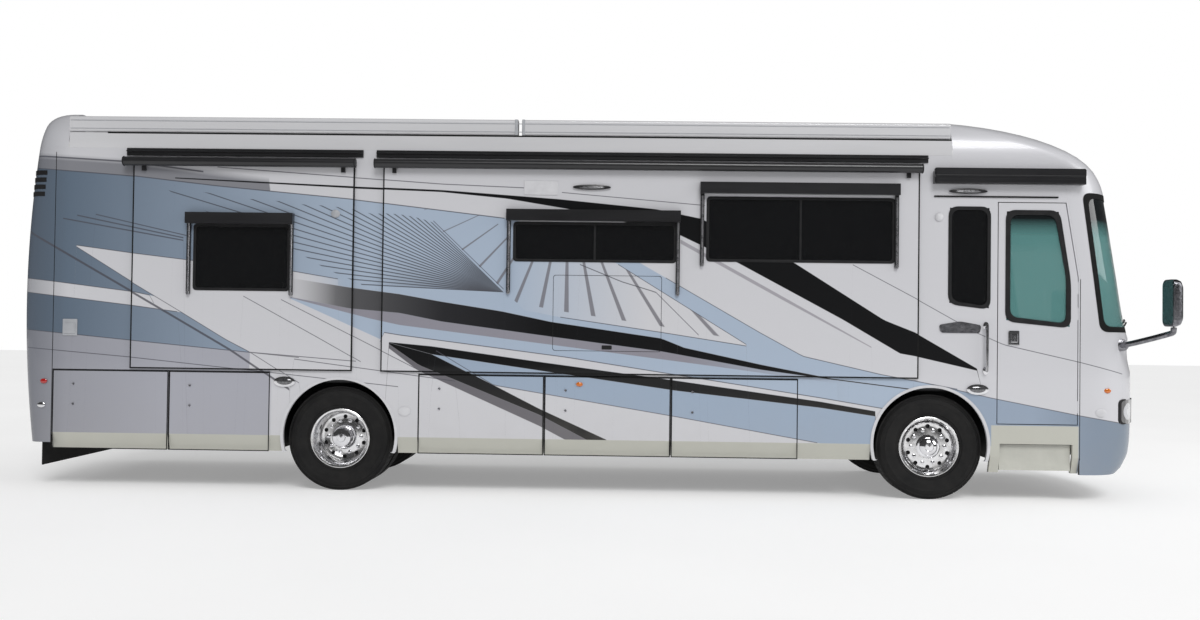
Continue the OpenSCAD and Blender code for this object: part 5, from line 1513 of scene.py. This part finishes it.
def build_side_fittings():
    latch_x = DOOR_X0 + 0.157
    plate = Shape().box((latch_x - 0.055, -HALF - 0.014, 1.545), (latch_x + 0.055, -HALF, 1.69), 0.006)
    plate.box((latch_x - 0.035, -HALF - 0.026, 1.575), (latch_x + 0.035, -HALF - 0.01, 1.655), 0.006)
    plate.rod([(latch_x, -HALF - 0.03, 1.585), (latch_x, -HALF - 0.03, 1.65)], 0.008)
    plate.piece("door_latch", "entry_door", CHROME, "chrome_trim")
    grab_x = FRONT_AXLE + 0.54
    grab = Shape()
    grab.rod([(grab_x, -HALF - 0.052, 1.29), (grab_x, -HALF - 0.052, 1.74)], 0.016, 20)
    for z in (1.29, 1.735):
        grab.rod([(grab_x, -HALF - 0.052, z), (grab_x, -HALF, z)], 0.014, 16)
        grab.oval((grab_x, -HALF - 0.01, z), (0.028, 0.04), "y", 0.012, 0.003)
    grab.piece("grab_handle", COACH, CHROME, "chrome_trim", 40, recalc=True)
    bx, bz = FRONT_AXLE + 0.286, 1.711
    outline = [(-0.195, -0.05), (0.195, -0.05), (0.21, 0.03), (0, 0.066), (-0.21, 0.03)]
    shield = Shape().prism(
        rounded([(bx + a, bz + b) for a, b in outline], 0.03), "y", -HALF - 0.009, -HALF, 0.003
    )
    shield.piece("blank_side_plate", COACH, DARK_CHROME, "chrome_trim")
    build_side_lamps()
    # Wall outlet, cover plate and the flush outside hatch with its latch
    outlet = Shape().box((WALL_REAR + 0.1, -HALF - 0.01, 1.52), (WALL_REAR + 0.25, -HALF, 1.69), 0.008)
    outlet.box((WALL_REAR + 0.118, -HALF - 0.016, 1.54), (WALL_REAR + 0.232, -HALF - 0.008, 1.65), 0.004)
    outlet.piece("shore_power_cover", COACH, GREY_PLASTIC, "awning_case")
    x = FRONT_AXLE - 4.07
    Shape().box((x, -FACE - 0.006, 2.989), (x + 0.339, -FACE, 3.132), 0.004).piece(
        "slide_cover_plate", "living_slide", WHITE_PLASTIC, "body_paint"
    )
    groove = rounded(rectangle(FRONT_AXLE - 3.766, 1.433, FRONT_AXLE - 2.68, 2.191), 0.03)
    cx, cz = FRONT_AXLE - 3.223, 1.812
    inner = scaled(groove, 0.992, 0.989, (cx, cz))
    hatch = Shape().band(groove, inner, "y", -FACE - 0.0012, -FACE + 0.002)
    hatch.box((cx - 0.05, -FACE - 0.008, 1.452), (cx + 0.05, -FACE, 1.492), 0.004)
    hatch.piece("outside_hatch_outline", "living_slide", TRIM_BLACK, "black_case", recalc=True)
    # Two locks and a black edge on each bay door
    for side_name, side, count in (("right", -1, 5), ("left", 1, 3)):
        for i in range(count):
            door = f"{side_name}_bay_door_{i + 1}"
            low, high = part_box(door)
            locks = Shape()
            for z in (BAY_TOP - 0.14, BAY_TOP - 0.342):
                locks.oval(
                    (low.x + 0.21, side * (HALF + 0.007), z), (0.012, 0.012), "y", -side * 0.009,
                    side * 0.003, 20
                )
            locks.piece(f"{door}_locks", door, DARK_CHROME, "chrome_trim", 40, recalc=True)
            outer = rectangle(low.x + 0.0005, low.z + 0.0005, high.x - 0.0005, high.z - 0.0005)
            inner = rectangle(low.x + 0.01, low.z + 0.01, high.x - 0.01, high.z - 0.01)
            edge = Shape().band(outer, inner, "y", side * (HALF + 0.0012), side * (HALF - 0.001))
            edge.piece(f"{door}_edge", door, SEAM_BLACK, "flap_rubber", recalc=True)
    # Seams where the caps meet the walls, and drip rail over the door
    seams = Shape()
    for x in (WALL_FRONT, WALL_REAR):
        top = DOOR_TOP - 0.76 if x > 0 else SIDE_TOP - 0.05
        seams.box((x - 0.003, -HALF - 0.0012, SKIRT + 0.03), (x + 0.003, -HALF + 0.02, top))
    gutter = [
        (DOOR_X0 - 0.64, -HALF - 0.008, DOOR_TOP + 0.05), (DOOR_X1 - 0.2, -HALF - 0.008, DOOR_TOP + 0.05)
    ]
    seams.mirrored()
    seams.rod(gutter, 0.008, 10)
    seams.piece("wall_seams", COACH, SEAM_BLACK, "flap_rubber")


# ---- Wheelhouses ----


def build_wheelhouses():
    arch = [
        (ARCH_R * math.cos(a * math.pi / 48), ARCH_Z + ARCH_R * math.sin(a * math.pi / 48))
        for a in range(-6, 55)
    ]
    arch = [(x, max(z, SKIRT)) for x, z in arch]
    lips, liners = Shape(), Shape()
    for axle in (FRONT_AXLE, REAR_AXLE):
        outer = [(axle + x * 1.004, z) for x, z in arch]
        inner = [(axle + x * 0.955, ARCH_Z + (z - ARCH_Z) * 0.955) for x, z in arch]
        outline = outer + inner[::-1]
        lips.prism(outline, "y", -HALF - 0.006, -HALF + 0.03)
        edge = 0.636
        for x in (axle - edge, axle + edge - 0.005):
            liners.box((x, -HALF + 0.047, SKIRT + 0.05), (x + 0.005, -0.5, FLOOR_TOP - 0.105))
        liners.box((axle - edge, -HALF + 0.047, FLOOR_TOP - 0.11), (axle + edge, -0.5, FLOOR_TOP - 0.104))
        for x0, x1, low in ((-edge, -0.2, SKIRT + 0.05), (0.2, edge, SKIRT + 0.05), (-0.2, 0.2, 0.86)):
            liners.box((axle + x0, -0.505, low), (axle + x1, -0.5, FLOOR_TOP - 0.105))
    lips.mirrored().piece("wheel_arch_lips", COACH, WHITE_PLASTIC, "body_paint", 40, recalc=True)
    liners.mirrored().piece("wheelhouse_liners", COACH, TRIM_BLACK, "chassis")


# ---- Front and rear fittings ----


def on_nose(z, y, out):
    """Point on the front face at height z and side place y, out metres proud."""
    half = cap_half_width(z)
    corner = WALL_FRONT + smooth_lookup(z, CORNER_PROFILE)
    share = min(0.999, abs(y) / half)
    return corner + (nose_x(z) - corner) * (1 - share**2.8) ** (1 / 2.8) + out


def nose_ring(outer, inner, outs):
    """Raised ring on the front face, between two outlines of (side place, height)."""
    loops = zip((outer, outer, inner, inner), outs)
    return Shape().loft([[(on_nose(b, a, out), a, b) for a, b in loop] for loop, out in loops], closed=True)


def slats(name, body, count, low, high, width, finish):
    """Row of leaning slats across the coach, from one low centre to a high one."""
    step = tuple((b - a) / (count - 1) for a, b in zip(low, high))
    blade = Shape().prism(
        [(-0.012, -0.006), (0.012, 0.002), (0.012, 0.006), (-0.012, -0.002)], "y", -width, width
    )
    made = ROW.run(blade, name, Count=count, Start=low, Step=step, Finish=finish)
    return settle(made, body, finish)


def build_end_fittings():
    z0, z1 = NOSE_LOW + 0.16, NOSE_LOW + 0.33
    x = on_nose((z0 + z1) / 2, 0.6, -0.03)
    slats(
        "front_intake_slats", COACH, 6, (x, 0, z0 + 0.018), (x, 0, z1 - 0.018), 0.622, TRIM_BLACK,
    )
    z_low, z_high = 0.82, 1.3
    back = [tail_x(z) - 0.006 for z in (z_low, z_high)]
    slats(
        "engine_hatch_slats", "engine_hatch", 17, (back[0], 0, z_low), (back[1], 0, z_high), 0.6, TRIM_BLACK,
    )
    border = rectangle(-0.64, 0.79, 0.64, 1.33)
    outer, inner = rounded(border, 0.03), rounded(scaled(border, 0.955, 0.92, (0, 1.06)), 0.02)
    rings = []
    for outline, out in ((outer, 0.004), (outer, -0.01), (inner, -0.01), (inner, 0.004)):
        rings.append([(tail_x(b) + out, a, b) for a, b in outline])
    ring = Shape().loft(rings, closed=True)
    ring.piece("engine_hatch_slat_frame", "engine_hatch", TRIM_BLACK, "black_case", recalc=True)
    # Side louvres beside the tail's corner, which follow its curve
    louvres = Shape()
    for i in range(4):
        z = 2.93 + i * 0.072
        outer = [p for p in rear_level(z, 0, -0.004)[1:-1] if -HALF - 0.01 < p[1] < -0.86 * HALF]
        inner = [p for p in rear_level(z, 0, 0.012)[1:-1]][: len(outer)]
        loop = [(p[0], p[1]) for p in outer] + [(p[0], p[1]) for p in inner[::-1]]
        louvres.prism(loop, "z", z, z + 0.045)
    louvres.mirrored().piece("tail_side_louvres", COACH, TRIM_BLACK, "black_case", recalc=True)
    # Marker lights on the visor and on the tail, and rings round the headlamps
    markers, reds = Shape(), Shape()
    for y in (-0.75, -0.16, 0, 0.16, 0.75):
        z = CAP_TOP - 0.17
        markers.oval((on_nose(z, y, 0.016), y, z), (0.035, 0.018), "x", -0.03, -0.006, 20)
        z = CAP_TOP - 0.2
        reds.oval((tail_x(z) - 0.01, y, z), (0.035, 0.018), "x", 0.014, 0.005, 20)
    markers.piece("roof_marker_lights", COACH, AMBER, "lamp_lens", 40, recalc=True)
    reds.piece("tail_marker_lights", COACH, RED, "lamp_lens", 40, recalc=True)
    outline = rounded(rectangle(0.8, 0.77, 1.2, 1.02), 0.05, 10)
    bezels = nose_ring(outline, scaled(outline, 0.93, 0.9, (1.0, 0.895)), (0.0, 0.016, 0.016, 0.002))
    bezels.mirrored().piece("headlamp_bezels", COACH, TRIM_BLACK, "black_case", recalc=True)
    grille = rounded(rectangle(-0.52, NOSE_LOW + 0.56, 0.52, NOSE_LOW + 0.74), 0.06, 10)
    inner = scaled(grille, 0.97, 0.82, (0, NOSE_LOW + 0.65))
    ring = nose_ring(grille, inner, (-0.004, 0.012, 0.012, -0.004))
    ring.piece("front_grille_ring", COACH, CHROME, "chrome_trim", recalc=True)
    x = on_nose(NOSE_LOW + 0.65, 0.5, -0.002)
    slats(
        "front_grille_slats", COACH, 5, (x, 0, NOSE_LOW + 0.585), (x, 0, NOSE_LOW + 0.715), 0.5, DARK_CHROME,
    )
    # Wipers parked along the foot of the windshield
    wipers = Shape()
    for y in (-1, 1):
        pivot = (on_nose(1.62, 0.12, 0.004), y * 0.12, 1.62)
        wipers.oval(pivot, (0.03, 0.03), "x", -0.03, -0.004, 20)
        path = []
        for i in range(9):
            t = i / 8
            side = y * (0.12 + 0.72 * t)
            z = 1.63 + 0.16 * t
            path.append((on_nose(z, side, 0.02 + 0.01 * t), side, z))
        wipers.rod(path, 0.009, 12)
        blade = []
        for i in range(9):
            side = y * (0.36 + 0.62 * i / 8)
            z = 1.745 + 0.07 * i / 8
            blade.append((on_nose(z, side, 0.012), side, z))
        wipers.rod(blade, 0.01, 8)
    wipers.piece("wipers", COACH, TRIM_BLACK, "black_case")


# ---- Mirrors and roof units ----


def build_mirrors():
    shell, glass_faces = Shape(), Shape()
    low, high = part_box("mirrors")
    x0, x1, y0, z0, z1 = high.x - 0.11, high.x, low.y, 1.748, high.z
    y1 = y0 + 0.25
    outline = rounded(rectangle(y0, z0, y1, z1), 0.07, 8)
    cy, cz = (y0 + y1) / 2, (z0 + z1) / 2
    rings = []
    for share, x in (
        (0.97, x0), (1, x0 + 0.006), (1, x0 + 0.05), (0.94, x0 + 0.082), (0.8, x0 + 0.1), (0.5, x1)
    ):
        rings.append([(x, a, b) for a, b in scaled(outline, share, share, (cy, cz))])
    shell.loft(rings)
    glass_faces.prism(scaled(outline, 0.88, 0.92, (cy, cz)), "x", x0 - 0.003, x0 + 0.002)
    base_x = FRONT_AXLE + 1.921
    base_y = -cap_y(base_x, 1.56)
    shell.oval((base_x, base_y - 0.022, 1.56), (0.075, 0.06), "y", 0.05, 0.012)
    path = [
        (base_x, base_y - 0.02, 1.56), (base_x + 0.05, base_y - 0.1, 1.575),
        (base_x + 0.19, -HALF - 0.06, 1.62), (x0 + 0.03, -HALF - 0.15, 1.67), (x0 + 0.055, cy + 0.02, 1.69),
        (x0 + 0.055, cy, 1.72), (x0 + 0.055, cy, z0 + 0.03),
    ]
    smooth = []
    for i in range(len(path) - 1):
        a, b = Vector(path[i]), Vector(path[i + 1])
        before = Vector(path[max(i - 1, 0)])
        after = Vector(path[min(i + 2, len(path) - 1)])
        for s in range(6):
            t = s / 6
            square = (2 * before - 5 * a + 4 * b - after) * t * t
            cube = (3 * a - before - 3 * b + after) * t**3
            smooth.append(tuple(0.5 * (2 * a + (b - before) * t + square + cube)))
    smooth.append(path[-1])
    shell.rod(smooth, 0.028, 20)
    mirror = shell.mirrored().piece("mirror_shells", COACH, DARK_CHROME, "chrome_trim", 40, recalc=True)
    glass_faces.mirrored().piece("mirror_faces", COACH, DARK_CHROME, "chrome_trim", recalc=True)
    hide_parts("mirrors")


def build_roof_units():
    """Rounded shrouds over the roof air conditioners, with vents and a black base."""
    shrouds, bases = Shape(), Shape()
    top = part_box("roof_air_conditioners")[1].z
    starts = (REAR_AXLE - 1.3, (REAR_AXLE + FRONT_AXLE) / 2 - 0.5, FRONT_AXLE - 0.9)
    for x0 in starts:
        base_z = ROOF_TOP - 0.012
        rings = []
        outline = rounded(rectangle(x0, -0.36, x0 + 0.9, 0.36), 0.16, 8)
        cx = x0 + 0.45
        levels = (
            (0.97, base_z), (1, base_z + 0.02), (1, base_z + 0.09), (0.97, base_z + 0.15), (0.9, top - 0.016),
            (0.8, top - 0.003), (0.6, top),
        )
        for share, z in levels:
            rings.append([(a, b, z) for a, b in scaled(outline, share, share, (cx, 0))])
        shrouds.loft(rings)
        for side in (-1, 1):
            for k in range(7):
                x = x0 + 0.2 + k * 0.08
                y = side * 0.352
                bases.box(
                    (x, min(y, y + side * 0.012), base_z + 0.045),
                    (x + 0.04, max(y, y + side * 0.012), base_z + 0.09), 0.004
                )
        bases.box((x0 + 0.01, -0.35, base_z - 0.02), (x0 + 0.89, 0.35, base_z + 0.012), 0.004)
    shroud = shrouds.piece("roof_unit_shrouds", COACH, ROOF_WHITE, "roof_white", 40, recalc=True)
    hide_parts("roof_air_conditioners")
    bases.piece("roof_unit_vents", COACH, TRIM_BLACK, "black_case")
    hatches = Shape()
    for x in (REAR_AXLE + 0.6, FRONT_AXLE - 2.0):
        hatches.box((x, -0.2, ROOF_TOP - 0.03), (x + 0.4, 0.2, ROOF_TOP + 0.05), 0.03)
    hatches.piece("roof_vents", COACH, ROOF_WHITE, "roof_white")


# ---- Cockpit ----


def pad(name, low, high, puff, turn=0.0, pivot=(0, 0, 0), seams=0):
    """Cushion that swells between piped edges, with stitched channels across it."""
    steps = 18
    half = [(b - a) / 2 for a, b in zip(low, high)]
    centre = [(a + b) / 2 for a, b in zip(low, high)]
    mesh = bmesh.new()
    bmesh.ops.create_cube(mesh, size=2)
    bmesh.ops.subdivide_edges(mesh, edges=mesh.edges[:], cuts=steps, use_grid_fill=True)
    thin = half.index(min(half))
    for vertex in mesh.verts:
        p = vertex.co
        wide = [i for i in range(3) if i != thin]
        edge = max(abs(p[i]) for i in wide)
        swell = math.prod(math.sqrt(max(0.0, 1 - p[i] ** 4)) for i in wide)
        around = [p[i] * (1 - 0.08 * abs(p[thin]) ** 3 * (edge > 0.85)) for i in range(3)]
        channel = 1 - 0.5 * sum(math.exp(-(((p[wide[0]] - s) * 14) ** 2)) for s in [-0.5, 0, 0.5][:seams])
        around[thin] = p[thin] * (
            0.62 + 0.38 * swell * channel
        ) + p[thin] * puff * swell * channel / half[thin]
        corner = 1 - 0.05 * (abs(p[wide[0]] * p[wide[1]])) ** 3
        vertex.co = Vector([centre[i] + around[i] * half[i] * (corner if i in wide else 1) for i in range(3)])
    if turn:
        bmesh.ops.rotate(mesh, verts=mesh.verts, cent=pivot, matrix=Matrix.Rotation(turn, 3, "Y"))
    bmesh.ops.recalc_face_normals(mesh, faces=mesh.faces)
    data = bpy.data.meshes.new(name)
    mesh.to_mesh(data)
    mesh.free()
    made = settle(bpy.data.objects.new(name, data), COACH, LEATHER, 60)
    return made


def build_seats():
    """Two captain's chairs on pedestals, with padded cushion, back, headrest and armrests."""
    frames = Shape()
    low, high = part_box("cockpit_seats")
    base = low.z
    chairs = ((high.x - 0.26, 0.56), (high.x - 0.34, -0.36))
    lean = math.radians(-12)
    for i, (x, y) in enumerate(chairs):
        label = ("driver", "passenger")[i]
        frames.box((x - 0.15, y - 0.15, base), (x + 0.15, y + 0.15, base + 0.24), 0.02)
        frames.box((x - 0.25, y - 0.24, base + 0.23), (x + 0.25, y + 0.24, base + 0.275), 0.015)
        cushion = pad(
            f"{label}_cushion", (x - 0.26, y - 0.25, base + 0.265), (x + 0.26, y + 0.25, base + 0.4), 0.01,
            seams=3
        )
        if i == 0:
            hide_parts("cockpit_seats")
        foot = (x - 0.26, y, base + 0.399)
        pad(
            f"{label}_back", (foot[0], y - 0.24, base + 0.385), (foot[0] + 0.12, y + 0.24, base + 1.03), 0.01,
            lean, foot, 3
        )
        pad(
            f"{label}_headrest", (foot[0] + 0.012, y - 0.13, base + 1.04),
            (foot[0] + 0.102, y + 0.13, base + 1.21), 0.006, lean, foot
        )
        for side in (-1, 1):
            arm_y = y + side * 0.275
            pad(
                f"{label}_armrest_{(side + 3) // 2}", (x - 0.18, arm_y - 0.03, base + 0.555),
                (x + 0.13, arm_y + 0.03, base + 0.612), 0.003
            )
            frames.box((x - 0.17, arm_y - 0.022, base + 0.3), (x - 0.13, arm_y + 0.022, base + 0.565), 0.008)
            head = Matrix.Rotation(lean, 3, "Y") @ Vector((0.057, 0, 0.58)) + Vector(foot)
            tip = Matrix.Rotation(lean, 3, "Y") @ Vector((0.057, 0, 0.68)) + Vector(foot)
            frames.rod(
                [tuple(head + Vector((0, side * 0.06, 0))), tuple(tip + Vector((0, side * 0.06, 0)))], 0.008,
                10
            )
    frames.piece("seat_frames", COACH, TRIM_BLACK, "chassis")


def build_cockpit():
    build_seats()
    low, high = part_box("steering_wheel")
    dash_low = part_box("dashboard")[0]
    centre = Vector((dash_low.x - 0.19, (low.y + high.y) / 2, 1.69))
    tilt = Matrix.Rotation(math.radians(-62), 4, "Y")
    wheel = Shape()
    rings = []
    for i in range(64):
        a = 2 * math.pi * i / 64
        rings.append([((0.21 + r) * math.cos(a), (0.21 + r) * math.sin(a), z) for r, z in circle(0.0155, 16)])
    wheel.loft(rings, closed=True)
    hub = ((0.05, -0.03), (0.06, -0.01), (0.06, 0.012), (0.045, 0.024), (0.02, 0.027))
    wheel.loft([[(px, py, z) for px, py in circle(r, 32)] for r, z in hub])
    for a in (0, 120, 240):
        turn = Matrix.Rotation(math.radians(a), 3, "Z")
        wheel.rod(
            [
                tuple(turn @ Vector((0.04, 0, 0))), tuple(turn @ Vector((0.12, 0, -0.006))),
                tuple(turn @ Vector((0.205, 0, 0)))
            ],
            0.013, 12
        )
    wheel.rod([(0, 0, -0.02), (0, 0, -0.19)], 0.03, 24)
    bmesh.ops.transform(wheel.mesh, matrix=Matrix.Translation(centre) @ tilt, verts=wheel.mesh.verts)
    rim = wheel.piece("steering_wheel_rim", COACH, DASH, "dash_plastic", 40, recalc=True)
    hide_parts("steering_wheel")
    # Screens and vents on the dash
    screens, vents = Shape(), Shape()
    x = dash_low.x - 0.004
    screens.box((x - 0.006, centre.y - 0.17, 1.575), (x + 0.006, centre.y + 0.17, 1.63), 0.004)
    screens.box((x - 0.01, -0.08, 1.40), (x + 0.006, 0.2, 1.555), 0.006)
    screens.piece("dash_screens", COACH, DARK_GLASS, "tinted_glass")
    for y in (-0.4, -0.22, 0.9):
        vents.box((x - 0.006, y - 0.06, 1.46), (x + 0.004, y + 0.06, 1.53), 0.004)
    vents.piece("dash_vents", COACH, DARK_CHROME, "chrome_trim")


build_window_rims()
build_slide_trims()
build_awning_fittings()
build_side_fittings()
build_wheelhouses()
build_end_fittings()
build_mirrors()
build_roof_units()
build_cockpit()


# ---- Studio and camera ----


def build_studio():
    """Pale floor and a soft key from above and ahead."""
    floor_finish = Finish("studio_floor")
    cloud = floor_finish.noise(0.4, 3.0)
    pale = floor_finish.mix(cloud, (0.78, 0.78, 0.78), (0.82, 0.82, 0.82))
    floor_finish.finish(pale, cloud * 0.2 + 0.7, Emission_Color=(1, 1, 1), Emission_Strength=0.28)
    ground = Shape().box((-60, -40, -0.06), (60, 60, -0.002)).piece(
        "studio_ground", COACH, floor_finish.material, None
    )
    ground.parent = None
    sky = bpy.data.worlds.new("studio_sky")
    bpy.context.scene.world = sky
    sky.use_nodes = True
    # White behind the coach, softer as a light and dim in reflections
    nodes, links = sky.node_tree.nodes, sky.node_tree.links
    path = nodes.new("ShaderNodeLightPath")
    dim = nodes.new("ShaderNodeMix")
    white = nodes.new("ShaderNodeMix")
    links.new(path.outputs["Is Glossy Ray"], dim.inputs["Factor"])
    dim.inputs["A"].default_value = 0.45
    dim.inputs["B"].default_value = 0.06
    links.new(path.outputs["Is Camera Ray"], white.inputs["Factor"])
    links.new(dim.outputs["Result"], white.inputs["A"])
    white.inputs["B"].default_value = 1.0
    nodes["Background"].inputs["Color"].default_value = (1, 1, 1, 1)
    links.new(white.outputs["Result"], nodes["Background"].inputs["Strength"])
    for name, kind, at, towards, power in (
        ("key_light", "SUN", (3, -14, 13), (0, 0, 0), 1.52),
        ("end_light", "AREA", (16, -6, 7), (4, 0, 1.5), 500),
    ):
        lamp = bpy.data.lights.new(name, kind)
        lamp.energy = power
        if kind == "SUN":
            lamp.angle = math.radians(25)
        else:
            lamp.size = 7
        light = bpy.data.objects.new(name, lamp)
        light.location = at
        light.rotation_euler = (Vector(towards) - Vector(at)).to_track_quat("-Z", "Y").to_euler()
        bpy.context.scene.collection.objects.link(light)


def build_camera():
    """Side view from the kerb, turned and rolled by small angles."""
    yaw, pitch, roll = (math.radians(a) for a in (-1.282, 1.031, 0.734))
    ahead = Vector((math.sin(yaw) * math.cos(pitch), math.cos(yaw) * math.cos(pitch), math.sin(pitch)))
    right = Vector((math.cos(yaw), -math.sin(yaw), 0))
    up = right.cross(ahead)
    tilted_right = right * math.cos(roll) + up * math.sin(roll)
    tilted_up = up * math.cos(roll) - right * math.sin(roll)
    data = bpy.data.cameras.new("kerb_camera")
    data.lens, data.sensor_width = 35.6, 36
    camera = bpy.data.objects.new("kerb_camera", data)
    bpy.context.scene.collection.objects.link(camera)
    turn = Matrix((tilted_right, tilted_up, -ahead)).transposed().to_4x4()
    camera.matrix_world = Matrix.Translation((0.427, -13.15, 1.632)) @ turn
    bpy.context.scene.camera = camera


build_studio()
build_camera()
bpy.context.scene.view_settings.view_transform = "Standard"
bpy.context.view_layer.update()
